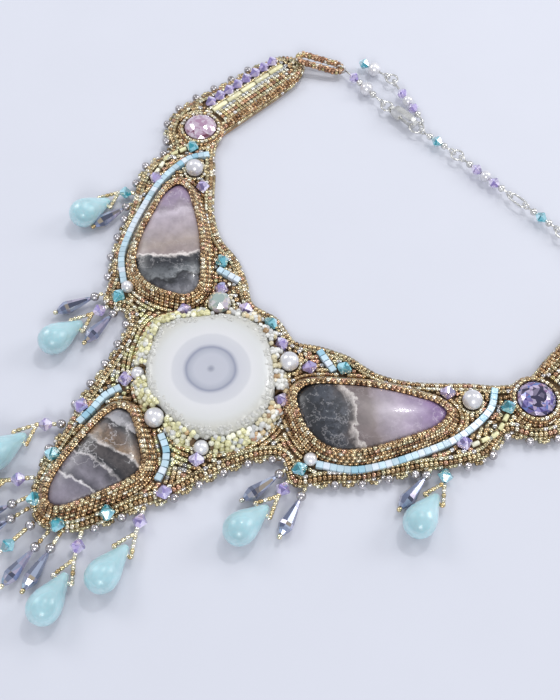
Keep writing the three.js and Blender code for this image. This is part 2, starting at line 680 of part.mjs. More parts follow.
function buildCarpet() {
  const holes = [
    plate(slice.outline(SLICE_POINTS, SURROUND_WIDTH + GAP), BED, HOLE_TOP),
    plate(pendantStone.outline(STONE_POINTS, BEZEL_FOOT + GAP), BED, HOLE_TOP),
    pocket(fireBeadSpot, FIRE_BEAD_DIAMETER),
    ...SLICE_PEARLS.map((pearl) => pocket(spotOf(pearl), pearl.size)),
  ];
  const beads = [];
  const cubesTop = CARPET_TOP + CUBE_STAND;
  for (const { side } of SIDES) {
    holes.push(plate(mirrorOutline(armStone.outline(STONE_POINTS, BEZEL_FOOT + GAP), side), BED, HOLE_TOP));
    holes.push(roundHole(mirrored(crystalMiddle, side), CRYSTAL_DIAMETER / 2 + CRYSTAL_BEZEL_FOOT + 2 * GAP));
    holes.push(strapTrench(side, STRAP_WIDTH, creamRowOut - BUGLE / 2 - GAP));
    holes.push(strapTrench(side, goldRowOut + BUGLE / 2 + GAP, -STRAP_WIDTH));
    holes.push(...ARM_PEARLS.map((pearl) => pocket(mirrored(spotOf(pearl), side), pearl.size)));
    beads.push(...ARM_BEADS.map((row) => smallBead(row, side)));
    beads.push(...PENDANT_BEADS.map((row) => smallBead(row, side)));
    beads.push(band(cubeRoute(CUBE_ROW_OUTER, side), CUBE, BED, cubesTop));
    beads.push(band(cubeRoute(CUBE_ROW_INNER, side), CUBE, BED, cubesTop));
  }
  beads.push(...[...SLICE_BEADS, ...LOWER_BEADS].map((row) => smallBead(row, 1)));
  beads.push(band(cubeRoute(CUBE_ROW_PENDANT_LEFT, 1), CUBE, BED, cubesTop));
  beads.push(band(cubeRoute(CUBE_ROW_PENDANT_RIGHT, 1), CUBE, BED, cubesTop));
  const carpet = plate(collarOutline(CARPET_INSET, OUTLINE_POINTS), LEATHER, CARPET_TOP);
  addPiece('bead_carpet', cut(fused([carpet, ...beads]), holes), bronzeBeads);
}

// Stones and their settings

function domed(outline, middle, height, profile, girdle) {
  const ring = (size, up) => outline.map((spot) => {
    const place = spot.clone().sub(middle).multiplyScalar(size).add(middle);
    return lifted(place, BED + up);
  });
  const rings = girdle.map((up) => ring(1, up));
  for (const row of profile) rings.push(ring(row.size, row.height * height));
  const body = stacked(rings);
  body.attributes.position.setZ(body.attributes.position.count - 1, BED + height);
  return body;
}

function buildStones() {
  const bezel = [
    { out: GAP, up: 0 },
    { out: BEZEL_FOOT, up: 0 },
    { out: 0, up: BEZEL_HEIGHT },
    { out: -BEZEL_LIP, up: GIRDLE_HEIGHT + BEZEL_LIP + 3 * GAP },
    { out: GAP, up: GIRDLE_HEIGHT + GAP },
  ];
  const settings = [
    ...SIDES.map(({ side, name }) => ({ name, side, stone: armStone })),
    { name: 'pendant', side: 1, stone: pendantStone },
  ];
  for (const { name, side, stone } of settings) {
    const outline = mirrorOutline(stone.outline(STONE_POINTS), side);
    const middle = mirrored(stone.middle, side);
    const cabochon = domed(outline, middle, STONE_HEIGHT, CABOCHON_PROFILE, [0, GIRDLE_HEIGHT]);
    addPiece(`cabochon_${name}`, cabochon, agate);
    addPiece(`bezel_${name}`, surround(stone, side, STONE_POINTS, bezel), goldBeads);
  }
  addPiece('quartz_slice', domed(slice.outline(SLICE_POINTS), slice.middle, SLICE_HEIGHT, SLICE_PROFILE, []), quartz);
}

function buildSliceSurround() {
  const section = [
    { out: GAP, up: 0 },
    { out: SURROUND_WIDTH, up: 0 },
    { out: SURROUND_WIDTH * 0.8, up: SURROUND_HEIGHT * 0.7 },
    { out: SURROUND_WIDTH * 0.35, up: SURROUND_HEIGHT },
    { out: GAP, up: SURROUND_HEIGHT * 0.9 },
  ];
  const pockets = [
    pocket(fireBeadSpot, FIRE_BEAD_DIAMETER),
    ...SLICE_PEARLS.map((pearl) => pocket(spotOf(pearl), pearl.size)),
    ...SLICE_BEADS.map((row) => pocket(spotOf(row), BICONE, -1)),
  ];
  addPiece('slice_surround', cut(surround(slice, 1, SLICE_POINTS, section), pockets), creamBeads);
}

// A cut stone with a table, its axis upright
function cutStone(diameter, height, sides) {
  const radius = diameter / 2;
  return turned([
    { along: 0, radius: radius * 0.5 },
    { along: height * 0.42, radius },
    { along: height * 0.55, radius },
    { along: height, radius: radius * 0.58 },
  ], sides, new THREE.Vector3(), new THREE.Vector3(0, 0, height));
}

function crystalBezel() {
  const inner = CRYSTAL_DIAMETER / 2 + GAP;
  const outer = CRYSTAL_DIAMETER / 2 + CRYSTAL_BEZEL_FOOT;
  const profile = [
    new THREE.Vector2(inner, 0),
    new THREE.Vector2(outer, 0),
    new THREE.Vector2(outer - 0.7, CRYSTAL_BEZEL_HEIGHT * 0.8),
    new THREE.Vector2(inner + 0.3, CRYSTAL_BEZEL_HEIGHT),
    new THREE.Vector2(inner, 0),
  ];
  return new THREE.LatheGeometry(profile, 12).rotateX(Math.PI / 2);
}

function buildCrystals() {
  for (const { side, name } of SIDES) {
    const place = lifted(mirrored(crystalMiddle, side), BED);
    const glass = side > 0 ? blueCrystal : pinkCrystal;
    addPiece(`crystal_${name}`, cutStone(CRYSTAL_DIAMETER, CRYSTAL_HEIGHT, 10), glass).position.copy(place);
    addPiece(`crystal_bezel_${name}`, crystalBezel(), bronzeBeads).position.copy(place);
  }
  const fireBead = cutStone(FIRE_BEAD_DIAMETER, FIRE_BEAD_DIAMETER * 0.8, 8);
  addPiece('fire_bead', fireBead, pinkCrystal).position.copy(lifted(fireBeadSpot, BED + POCKET_FLOOR + GAP));
}

function buildPearls() {
  const pearlAt = (name, spot, size) => {
    const pearl = addPiece(name, new THREE.SphereGeometry(size / 2, 10, 5).rotateX(Math.PI / 2), silverPearl);
    pearl.position.set(spot.x, spot.y, BED + POCKET_FLOOR + GAP + size / 2);
  };
  for (const { side, name } of SIDES) {
    for (const pearl of ARM_PEARLS) pearlAt(`${pearl.name}_${name}`, mirrored(spotOf(pearl), side), pearl.size);
  }
  for (const pearl of SLICE_PEARLS) pearlAt(pearl.name, spotOf(pearl), pearl.size);
}

// Beads side by side on a thread or wire. A row gives a bead's kind and length, and `from` is the start.
const BEAD_SHAPES = {
  round: [{ share: 0.25, size: 0.94 }, { share: 0.75, size: 0.94 }],
  bicone: [{ share: 0.5, size: 1 }],
  bugle: [{ share: 0.03, size: 1 }, { share: 0.97, size: 1 }],
};

function beadRows(beads, start, neck) {
  const rows = [{ along: start, radius: neck }];
  let along = start;
  for (const { kind, size, length = size } of beads) {
    for (const point of BEAD_SHAPES[kind]) {
      rows.push({ along: along + point.share * length, radius: point.size * size / 2 });
    }
    along += length;
    rows.push({ along, radius: neck });
  }
  return rows;
}

function buildStraps() {
  const length = rowsEnd - rowsStart;
  const neck = SEED * 0.4;
  const pitch = length / STRAP_BICONES;
  const bicones = Array.from({ length: STRAP_BICONES }, () => ({ kind: 'bicone', size: BICONE, length: pitch }));
  for (const { side, name } of SIDES) {
    const row = (out, width, rows) => turned(rows, 6,
      lifted(mirrored(onStrap(out, rowsStart), side), BED + width / 2),
      lifted(mirrored(onStrap(out, rowsEnd), side), BED + width / 2));
    const straight = (width) => [{ along: 0, radius: width / 2 }, { along: length, radius: width / 2 }];
    addPiece(`bicone_row_${name}`, row(biconeRowOut, BICONE, beadRows(bicones, 0, neck)), violetCrystal);
    addPiece(`bugle_row_${name}`, row(creamRowOut, BUGLE, straight(BUGLE)), creamBeads);
    const inner = fused([row(goldRowOut, BUGLE, straight(BUGLE)), row(rollOut, ROLL, straight(ROLL))]);
    addPiece(`strap_roll_${name}`, inner, bronzeBeads);
  }
}

// Fringe

const collarEdge = collarOutline(0, 480);

// The place along the collar's edge that is nearest to a row's own place
function edgeIndex(row) {
  const wanted = spotOf(row);
  const distances = collarEdge.map((point) => point.distanceTo(wanted));
  return distances.indexOf(Math.min(...distances));
}

// The edge beads that hold a fringe, from its first strand to its last and one bead past each
function edgeRoute(rows) {
  const stops = rows.map(edgeIndex).map((i) => (i > collarEdge.length / 2 ? i - collarEdge.length : i));
  const first = Math.min(...stops) - 1;
  const last = Math.max(...stops) + 1;
  const outside = grown(collarEdge, GAP + EDGE_BEAD / 2);
  const steps = new Set([first, last, ...stops]);
  for (let i = first; i < last; i += 4) {
    if ([...stops, last].every((stop) => Math.abs(stop - i) > 2)) steps.add(i);
  }
  return [...steps].sort((a, b) => a - b).map((i) => outside[(i + outside.length) % outside.length]);
}

function dropBody() {
  const rows = DROP_PROFILE.map((row) => ({ along: row.along * DROP_LENGTH, radius: row.radius * DROP_DIAMETER / 2 }));
  const body = turned(rows, 10, new THREE.Vector3(-DROP_HOLE_DEPTH, 0, 0),
    new THREE.Vector3(DROP_LENGTH - DROP_HOLE_DEPTH, 0, 0));
  const across = new THREE.Vector3(0, DROP_DIAMETER / 2, 0);
  return cut(body, [rod(DROP_HOLE / 2, 4, across.clone().negate(), across)]);
}

const fringeHeight = Math.max(BICONE, CRYSTAL_DROP_WIDTH) / 2 + FLOOR_GAP;

// A strand that forks round the tip of its drop: seeds, bicone and the two runs with their thread, and
// a silver bead first where the strand is long enough for it
function dropStrand(start, hole, heading) {
  const neck = SEED * 0.4;
  const fork = hole.clone().addScaledVector(new THREE.Vector3(heading.x, heading.y, 0), -FORK_LENGTH);
  fork.z = start.z;
  const length = start.distanceTo(fork);
  const lead = length > SILVER_ROUND + BICONE + SEED ? SILVER_ROUND : 0;
  const spare = length - lead - BICONE;
  const rows = [
    ...(lead > 0 ? beadRows([{ kind: 'round', size: SILVER_ROUND }], 0, neck) : [{ along: 0, radius: neck }]),
    ...beadRows([{ kind: 'bicone', size: BICONE }], lead + spare * 0.6, neck),
    { along: length, radius: SEED * 0.6 },
  ];
  const across = new THREE.Vector3(-heading.y, heading.x, 0).multiplyScalar(FORK_SPREAD);
  const ends = [hole.clone().add(across), hole.clone().sub(across)];
  return [
    turned(rows, 6, start, fork.clone().addScaledVector(fork.clone().sub(start).normalize(), SEED / 2)),
    ...ends.map((end) => rod(neck, 4, fork, end)),
    rod(THREAD / 2, 4, ends[0], ends[1]),
  ];
}

function crystalStrand(start, row) {
  const half = CRYSTAL_DROP_WIDTH / 2;
  const neck = SEED * 0.4;
  const top = row.strand;
  const length = top + CRYSTAL_DROP_LENGTH + SEED;
  const rows = [
    { along: 0, radius: neck },
    { along: top - SILVER_ROUND / 2, radius: SILVER_ROUND / 2 },
    { along: top, radius: neck },
    { along: top + CRYSTAL_DROP_LENGTH * 0.7, radius: half },
    { along: top + CRYSTAL_DROP_LENGTH, radius: half * 0.4 },
    { along: length, radius: neck },
  ];
  const run = polar(length, row.heading);
  return turned(rows, 6, start, start.clone().add(lifted(run, 0)));
}

// A lying drop rests on its belly, so its drilled tip lies lower than its broad end
function holeHeight() {
  const belly = DROP_PROFILE.reduce((widest, row) => (row.radius > widest.radius ? row : widest));
  const reach = belly.along * DROP_LENGTH - DROP_HOLE_DEPTH;
  const radius = DROP_DIAMETER / 2;
  return FLOOR_GAP + radius / Math.cos(degrees(DROP_PITCH)) - reach * Math.sin(degrees(DROP_PITCH));
}

function buildFringe(name, side, rows) {
  const route = edgeRoute(rows);
  const low = fringeHeight - EDGE_BEAD / 2;
  const pieces = [band(route, EDGE_BEAD, low, low + EDGE_BEAD)];
  const outside = grown(collarEdge, GAP + EDGE_BEAD / 2);
  rows.forEach((row, i) => {
    const start = lifted(outside[edgeIndex(row)], fringeHeight);
    if (row.kind === 'crystal') {
      pieces.push(crystalStrand(start, row));
      return;
    }
    const place = new THREE.Vector2(start.x, start.y).add(polar(row.strand, row.heading));
    const hole = lifted(place, holeHeight());
    const turn = side > 0 ? row.drop : row.dropLeft;
    pieces.push(...dropStrand(start, hole, polar(1, turn)));
    const drop = addPiece(`drop_${name}_${i + 1}`, dropBody(), aquaGlass);
    drop.rotation.order = 'ZYX';
    drop.rotation.set(0, -degrees(DROP_PITCH), degrees(side > 0 ? turn : 180 - turn));
    drop.position.set(hole.x * side, hole.y, hole.z);
  });
  const fringe = fused(pieces);
  addPiece(`fringe_${name}`, side > 0 ? fringe : mirrorGeometry(fringe), goldBeads);
}

function mirrorGeometry(geometry) {
  const flipped = geometry.clone().scale(-1, 1, 1);
  const index = flipped.index.array;
  for (let i = 0; i < index.length; i += 3) [index[i], index[i + 1]] = [index[i + 1], index[i]];
  return flipped;
}

// Chain

// A ring of round wire lying level
function flatRing(place, length, width, wire) {
  const radius = (width - wire) / 2;
  const ring = new THREE.TorusGeometry(radius, wire / 2, 5, 10);
  const stretch = (length - width) / 2;
  const position = ring.attributes.position;
  for (let i = 0; i < position.count; i += 1) {
    const x = position.getX(i);
    position.setX(i, x + Math.sign(Math.round(x * 1e4)) * stretch);
  }
  return ring.translate(place.x, place.y, place.z);
}

// An upright eye of wire whose plane holds the heading
function eye(place, heading, diameter) {
  const ring = new THREE.TorusGeometry((diameter - WIRE) / 2, WIRE / 2, 5, 8).rotateX(Math.PI / 2);
  ring.rotateZ(Math.atan2(heading.y, heading.x));
  return ring.translate(place.x, place.y, place.z);
}

// Beads on a wire between two eyes, each eye closed round a ring's wire
function wiredBeads(from, to, beads, { fromEye = EYE_DIAMETER, toEye = EYE_DIAMETER, leaving } = {}) {
  const fromHeading = leaving ?? to.clone().sub(from).normalize();
  const start = from.clone().addScaledVector(fromHeading, (fromEye - WIRE) / 2);
  const heading = to.clone().sub(start).normalize();
  const end = to.clone().addScaledVector(heading, -(toEye - WIRE) / 2);
  const length = start.distanceTo(end);
  const used = beads.reduce((sum, bead) => sum + (bead.length ?? bead.size), 0);
  const rows = beadRows(beads, (length - used) / 2, WIRE / 2);
  return fused([
    turned([{ along: 0, radius: WIRE / 2 }, ...rows, { along: length, radius: WIRE / 2 }], 10, start, end),
    eye(from, fromHeading, fromEye),
    eye(to, heading, toEye),
  ]);
}

const ringRadius = (RING_DIAMETER - WIRE) / 2;
const claspRingRadius = (CLASP_RING_DIAMETER - WIRE) / 2;
const silverRound = { kind: 'round', size: CHAIN_SILVER };
const crystalBicone = { kind: 'bicone', size: BICONE };
const smallPearl = { kind: 'round', size: PEARL_SMALL };
const chainPearl = { kind: 'round', size: CHAIN_PEARL };

function onChain(name, shift = 0) {
  const place = CHAIN_ROUTE[name];
  return new THREE.Vector3(place.x + shift, place.y, CHAIN_HEIGHT);
}

function loopStart(side) {
  return lifted(mirrored(onStrap(LOOP_OUT * STRAP_WIDTH, STRAP_LENGTH * LOOP_START), side), CHAIN_HEIGHT);
}

// The seed bead loop at a strap's end, from the strap's tip to the chain
function strapLoop(side, far) {
  const near = loopStart(side);
  const cord = LOOP_CORD / 2;
  const length = Math.hypot(far.x - near.x, far.y - near.y) + LOOP_CORD;
  const loop = new THREE.TorusGeometry(LOOP_WIDTH / 2 - cord, cord, 6, 12);
  const position = loop.attributes.position;
  const stretch = (length - LOOP_WIDTH) / 2;
  const heading = Math.atan2(far.y - near.y, far.x - near.x);
  const nearHeight = CARPET_TOP + GAP + cord;
  const fall = (far.z - nearHeight) / length;
  for (let i = 0; i < position.count; i += 1) {
    const x = position.getX(i) + Math.sign(Math.round(position.getX(i) * 1e4)) * stretch;
    position.setXYZ(i, x, position.getY(i), position.getZ(i) + (x + length / 2) * fall);
  }
  loop.rotateZ(heading);
  return loop.translate((near.x + far.x) / 2, (near.y + far.y) / 2, nearHeight);
}

function buildChain() {
  const loopEye = LOOP_CORD + 2 * (WIRE + GAP);
  const leftBeads = [crystalBicone, silverRound, chainPearl, silverRound];
  const rightBeads = [crystalBicone, chainPearl, silverRound];
  const stringEye = (side, far) => ({ fromEye: loopEye, leaving: far.clone().sub(loopStart(side)).normalize() });
  const loopLeft = onChain('loopLeft');
  const loopRight = onChain('loopRight');
  addPiece('loop_left', strapLoop(-1, loopLeft), goldBeads);
  addPiece('loop_right', strapLoop(1, loopRight), goldBeads);
  addPiece('string_left', wiredBeads(loopLeft, onChain('ringLeft', -ringRadius), leftBeads,
    stringEye(-1, loopLeft)), silver);
  addPiece('string_right', wiredBeads(loopRight, onChain('ringRight', ringRadius), rightBeads,
    stringEye(1, loopRight)), silver);
  const clasp = claspRing();
  const ring = (name, place, width = RING_DIAMETER) => addPiece(name, flatRing(place, width, width, WIRE), silver);
  ring('ring_left', onChain('ringLeft'));
  ring('ring_clasp', clasp, CLASP_RING_DIAMETER);
  ring('ring_middle', onChain('ringMiddle'));
  addPiece('ring_oval', flatRing(onChain('oval'), OVAL_LENGTH, RING_DIAMETER * 0.7, WIRE), silver);
  ring('ring_right', onChain('ringRight'));
  ring('ring_tail', onChain('ringTail'));
  const ovalReach = (OVAL_LENGTH - WIRE) / 2;
  const claspExit = clasp.clone().add(new THREE.Vector3(claspRingRadius, 0, 0));
  addPiece('link_aqua_left', wiredBeads(claspExit, onChain('ringMiddle', -ringRadius),
    [silverRound, crystalBicone, silverRound]), silver);
  addPiece('link_lilac', wiredBeads(onChain('ringMiddle', ringRadius), onChain('oval', -ovalReach),
    [silverRound, crystalBicone, smallPearl, crystalBicone, silverRound]), silver);
  addPiece('link_aqua_right', wiredBeads(onChain('oval', ovalReach), onChain('ringRight', -ringRadius),
    [silverRound, crystalBicone, silverRound]), silver);
  const tailStart = clasp.clone().add(lifted(polar(claspRingRadius, EYE_BEARING), 0));
  const tailRing = onChain('ringTail');
  const tailHeading = tailRing.clone().sub(tailStart).normalize();
  addPiece('tail_link', wiredBeads(tailStart, tailRing.clone().addScaledVector(tailHeading, -ringRadius),
    [silverRound, crystalBicone, smallPearl, crystalBicone], { leaving: lifted(polar(1, EYE_BEARING), 0) }), silver);
  const endHeading = onChain('tailEnd').sub(tailRing).normalize();
  const endEye = tailRing.clone().addScaledVector(endHeading, ringRadius);
  addPiece('tail_end', tailEnd(endEye, onChain('tailEnd')), silverPearl);
}

function tailEnd(from, to) {
  const heading = to.clone().sub(from).normalize();
  const start = from.clone().addScaledVector(heading, (EYE_DIAMETER - WIRE) / 2);
  const length = start.distanceTo(to);
  const beads = [chainPearl, crystalBicone];
  const rows = beadRows(beads, length - CHAIN_PEARL - BICONE, WIRE / 2);
  return fused([turned([{ along: 0, radius: WIRE / 2 }, ...rows], 10, start, to), eye(from, heading, EYE_DIAMETER)]);
}

// Clasp, in its own frame: +X from its root to its hook, +Z up, with the trigger along its underside

const claspReach = CLASP_LENGTH - CLASP_WIRE - WIRE / 2 - GAP - 0.3;
const claspEyelet = { x: CLASP_EYELET / 2, z: CHAIN_HEIGHT - KNOB_DEPTH - FLOOR_GAP };
const pivot = { x: CLASP_LENGTH * 0.38, z: TRIGGER_HUB / 2 };
const triggerReach = claspReach - WIRE / 2 - GAP - 0.1 - pivot.x;

// The ring caught in the clasp's hook
function claspRing() {
  return onChain('ringLeft', ringRadius + claspRingRadius + claspReach - claspEyelet.x);
}

function upright(shape, thickness) {
  const geometry = new THREE.ExtrudeGeometry(shape, { depth: thickness, bevelEnabled: false, curveSegments: 5 });
  return geometry.translate(0, 0, -thickness / 2).rotateX(Math.PI / 2);
}

function acrossRod(place, radius, width, sides) {
  return rod(radius, sides, new THREE.Vector3(place.x, -width / 2, place.z), new THREE.Vector3(place.x, width / 2, place.z));
}

function claspBody() {
  const half = CLASP_DEPTH / 2;
  const hook = CLASP_LENGTH - half;
  const outline = new THREE.Shape();
  outline.moveTo(CLASP_EYELET * 0.7, claspEyelet.z - 0.7);
  outline.quadraticCurveTo(pivot.x * 0.6, 0, pivot.x, 0);
  outline.absarc(hook, half, half, -Math.PI / 2, Math.PI / 2, false);
  outline.lineTo(pivot.x, CLASP_DEPTH);
  outline.quadraticCurveTo(pivot.x * 0.5, CLASP_DEPTH * 0.95, CLASP_EYELET * 0.7, claspEyelet.z + 0.7);
  const opening = new THREE.Shape();
  const inner = half - CLASP_WIRE;
  const rear = pivot.x + TRIGGER_HUB * 0.35;
  opening.moveTo(rear, CLASP_WIRE + inner * 0.8);
  opening.lineTo(rear + inner * 0.6, CLASP_DEPTH - CLASP_WIRE);
  opening.absarc(hook, half, inner, Math.PI / 2, -Math.PI / 2, true);
  opening.lineTo(rear, CLASP_WIRE);
  const mouthEnd = pivot.x + triggerReach + GAP + 0.1;
  const mouthStart = pivot.x + TRIGGER_HUB * 0.45;
  const mouth = new THREE.BoxGeometry(mouthEnd - mouthStart, 2 * CLASP_THICKNESS, 2 * CLASP_WIRE + 1);
  mouth.translate((mouthEnd + mouthStart) / 2, 0, 0.5);
  const slotWidth = TRIGGER_THICKNESS + 2 * GAP;
  const slot = acrossRod(pivot, (TRIGGER_HUB / 2 + GAP) / Math.cos(Math.PI / 12), slotWidth, 12);
  const relief = new THREE.BoxGeometry(TRIGGER_HUB * 2.4, slotWidth, TRIGGER_HUB / 2 + 1);
  relief.translate(pivot.x, 0, (TRIGGER_HUB / 2 + 1) / 2 - 1);
  const window = upright(opening, 2 * CLASP_THICKNESS);
  const shoulders = [1, -1].map((side) => new THREE.BoxGeometry(CLASP_DEPTH, 2, 3 * CLASP_DEPTH)
    .translate(CLASP_LENGTH, side * (1 + HOOK_THICKNESS / 2), 0));
  const solid = cut(upright(outline, CLASP_THICKNESS), [window, mouth, slot, relief, ...shoulders]);
  const whole = fused([
    solid,
    acrossRod(claspEyelet, CLASP_EYELET / 2, CLASP_THICKNESS * 0.6, 12),
    acrossRod(pivot, PIVOT_PIN / 2, CLASP_THICKNESS - 0.2, 6),
  ]);
  return cut(whole, [acrossRod(claspEyelet, CLASP_EYELET / 2 - WIRE + 0.1, CLASP_THICKNESS * 2, 10)]);
}

function claspTrigger() {
  const low = -pivot.z + FLOOR_GAP;
  const hub = TRIGGER_HUB / 2;
  const arm = new THREE.BoxGeometry(triggerReach, TRIGGER_THICKNESS, TRIGGER_DEPTH);
  arm.translate(triggerReach / 2, 0, low + TRIGGER_DEPTH / 2);
  const knob = new THREE.BoxGeometry(hub * 1.2, TRIGGER_THICKNESS, KNOB_DEPTH + hub);
  knob.translate(-hub * 0.1, 0, -hub / 2 - (KNOB_DEPTH + hub) / 2 + hub / 2);
  const body = fused([acrossRod({ x: 0, z: 0 }, hub, TRIGGER_THICKNESS, 12), arm, knob]);
  return cut(body, [acrossRod({ x: 0, z: 0 }, PIVOT_PIN / 2 + GAP, 2 * TRIGGER_THICKNESS, 8)]);
}

function buildClasp() {
  const origin = onChain('ringLeft', ringRadius - claspEyelet.x);
  origin.z = KNOB_DEPTH + FLOOR_GAP;
  addPiece('clasp_body', claspBody(), silver).position.copy(origin);
  addPiece('clasp_trigger', claspTrigger(), silver).position.copy(origin).add(new THREE.Vector3(pivot.x, 0, pivot.z));
}

buildBacking();
buildCarpet();
buildStones();
buildSliceSurround();
buildCrystals();
buildPearls();
buildStraps();
for (const { side, name } of SIDES) {
  buildFringe(`arm_outer_${name}`, side, ARM_OUTER_FRINGE);
  buildFringe(`arm_inner_${name}`, side, ARM_INNER_FRINGE);
  buildFringe(`pendant_${name}`, side, PENDANT_FRINGE);
}
buildFringe('point', 1, POINT_FRINGE);
buildChain();
buildClasp();

export default necklace;
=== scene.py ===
"""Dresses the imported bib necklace: stones, bead embroidery, fringe, chain and clasp."""

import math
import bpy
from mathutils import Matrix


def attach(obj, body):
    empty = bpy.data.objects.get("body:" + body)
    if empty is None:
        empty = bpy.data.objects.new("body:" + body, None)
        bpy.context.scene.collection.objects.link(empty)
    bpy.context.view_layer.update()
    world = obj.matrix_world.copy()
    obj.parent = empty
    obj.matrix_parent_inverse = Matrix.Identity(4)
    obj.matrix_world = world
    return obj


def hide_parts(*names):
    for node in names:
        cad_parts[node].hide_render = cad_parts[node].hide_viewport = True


bl_info = {
    "name": "Bib necklace",
    "version": (1, 0, 0),
    "blender": (4, 5, 0),
    "location": "3D View > Sidebar > Necklace",
    "description": "Builds the stones, bead embroidery, fringe, chain and clasp of a bib necklace",
    "category": "Add Mesh",
}

import bpy
import numpy as np
from mathutils import Vector

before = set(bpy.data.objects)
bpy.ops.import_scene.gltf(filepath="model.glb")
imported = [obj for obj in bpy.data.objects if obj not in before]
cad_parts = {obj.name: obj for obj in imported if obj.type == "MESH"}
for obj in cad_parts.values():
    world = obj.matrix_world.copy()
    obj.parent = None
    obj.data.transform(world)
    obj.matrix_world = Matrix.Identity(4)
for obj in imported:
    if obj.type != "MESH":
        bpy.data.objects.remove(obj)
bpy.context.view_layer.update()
MM = 0.001


# Settings

class NecklaceSizes(bpy.types.PropertyGroup):
    """Sizes of the beads that are sewn on, in metres"""

    seed: bpy.props.FloatProperty(
        name="Seed bead", description="Diameter of a seed bead", default=0.0016, unit="LENGTH")
    seed_pitch: bpy.props.FloatProperty(
        name="Seed pitch", description="Distance between seed beads in a row", default=0.00135, unit="LENGTH")
    row_pitch: bpy.props.FloatProperty(
        name="Row pitch", description="Distance between rows of seed beads", default=0.0015, unit="LENGTH")
    cylinder: bpy.props.FloatProperty(
        name="Cylinder bead", description="Diameter of a cylinder bead", default=0.00138, unit="LENGTH")
    cylinder_pitch: bpy.props.FloatProperty(
        name="Cylinder pitch", description="Distance between cylinder beads in a row", default=0.0017,
        unit="LENGTH")
    bicone: bpy.props.FloatProperty(
        name="Bicone", description="Width of a cut bicone", default=0.0044, unit="LENGTH")
    silver_round: bpy.props.FloatProperty(
        name="Silver round", description="Diameter of the silver beads along the edge", default=0.0028,
        unit="LENGTH")
    bed: bpy.props.FloatProperty(
        name="Bed", description="Height of the cloth that the beads are sewn to", default=0.0024,
        unit="LENGTH")


class NecklaceColours(bpy.types.PropertyGroup):
    """Colours of the stones and beads"""

    leather: bpy.props.FloatVectorProperty(
        name="Leather", description="Colour of the backing", subtype="COLOR", size=3,
        default=(0.42, 0.26, 0.14))
    teal: bpy.props.FloatVectorProperty(
        name="Teal crystal", description="Colour of the teal bicones", subtype="COLOR", size=3,
        default=(0.03, 0.40, 0.50))
    violet: bpy.props.FloatVectorProperty(
        name="Violet crystal", description="Colour of the violet bicones", subtype="COLOR", size=3,
        default=(0.38, 0.30, 0.70))
    aqua: bpy.props.FloatVectorProperty(
        name="Aqua glass", description="Colour of the teardrops", subtype="COLOR", size=3,
        default=(0.42, 0.64, 0.69))
    cube: bpy.props.FloatVectorProperty(
        name="Cube bead", description="Colour of the cube beads", subtype="COLOR", size=3,
        default=(0.50, 0.66, 0.75))
    surface: bpy.props.FloatVectorProperty(
        name="Surface", description="Colour of what the necklace lies on", subtype="COLOR", size=3,
        default=(0.555, 0.568, 0.625))


def sizes():
    return bpy.context.scene.necklace_sizes


def colours():
    return bpy.context.scene.necklace_colours


# Mixes of bead colours: each is a hex colour and its share

GOLD_MIX = (("dec79c", 4), ("c6a87e", 4), ("f2e8cf", 2), ("9e7f5a", 3), ("ccc09c", 2), ("cca084", 2))
EDGE_MIX = (("d6c8a2", 4), ("b5a47e", 4), ("e9e6d0", 2), ("8f7c5a", 2), ("c2bb98", 2), ("dcd8d4", 2))
BRONZE_MIX = (("d2ae80", 4), ("ad875e", 4), ("e8cfa8", 3), ("8a6344", 2))
PALE_GOLD_MIX = (("f0e7c6", 4), ("dfcda0", 3), ("faf6e6", 2), ("c8ad7c", 1))
CREAM_MIX = (("e6e2b4", 4), ("dcd8a6", 3), ("ecead2", 3), ("cdc894", 1), ("cfd2c8", 1))
BUGLE_MIX = (("e4dfb6", 3), ("dcd6a8", 1))
COPPER_MIX = (("c99a76", 3), ("a57a5c", 3), ("dfbd9a", 3), ("c8b784", 2), ("e2dccf", 1))
SILVER_MIX = (("c2c1c0", 3), ("97938f", 2), ("dcdbd9", 2))
FROST_MIX = (("d3d3cf", 3), ("bdbdbb", 2), ("e6e6e0", 3), ("d8cfae", 2))


def linear(hex_colour):
    channels = [int(hex_colour[i:i + 2], 16) / 255 for i in (0, 2, 4)]
    return [c / 12.92 if c <= 0.04045 else ((c + 0.055) / 1.055) ** 2.4 for c in channels]


def bead_colours(mix, count, rng):
    """One colour a bead, drawn from a palette and varied a little in brightness"""
    shades = np.array([linear(shade) for shade, _ in mix])
    shares = np.array([share for _, share in mix], float)
    picked = shades[rng.choice(len(mix), count, p=shares / shares.sum())]
    return picked * rng.uniform(0.82, 1.15, (count, 1))


# Reading the frame

def node_points(node):
    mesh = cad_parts[node].data
    points = np.empty(len(mesh.vertices) * 3)
    mesh.vertices.foreach_get("co", points)
    return points.reshape(-1, 3) / MM


def middle_of(node):
    points = node_points(node)
    return (points.max(0) + points.min(0)) / 2


def width_of(node):
    points = node_points(node)
    return float((points.max(0) - points.min(0))[0])


def hull(points):
    """The outline of a flat set of points, anticlockwise"""
    ordered = sorted({(round(x, 3), round(y, 3)) for x, y in points})

    def half(sequence):
        chain = []
        for p in sequence:
            while len(chain) > 1:
                (ax, ay), (bx, by) = chain[-2], chain[-1]
                if (bx - ax) * (p[1] - ay) - (by - ay) * (p[0] - ax) > 0:
                    break
                chain.pop()
            chain.append(p)
        return chain[:-1]

    return np.array(half(ordered) + half(reversed(ordered)))


def evenly(points, count, closed=True):
    """A path's points spaced evenly along it"""
    path = np.vstack([points, points[:1]]) if closed else np.asarray(points, float)
    steps = np.linalg.norm(np.diff(path, axis=0), axis=1)
    lengths = np.concatenate([[0], np.cumsum(steps)])
    wanted = np.linspace(0, lengths[-1], count, endpoint=not closed)
    return np.stack([np.interp(wanted, lengths, path[:, k]) for k in range(path.shape[1])], 1)


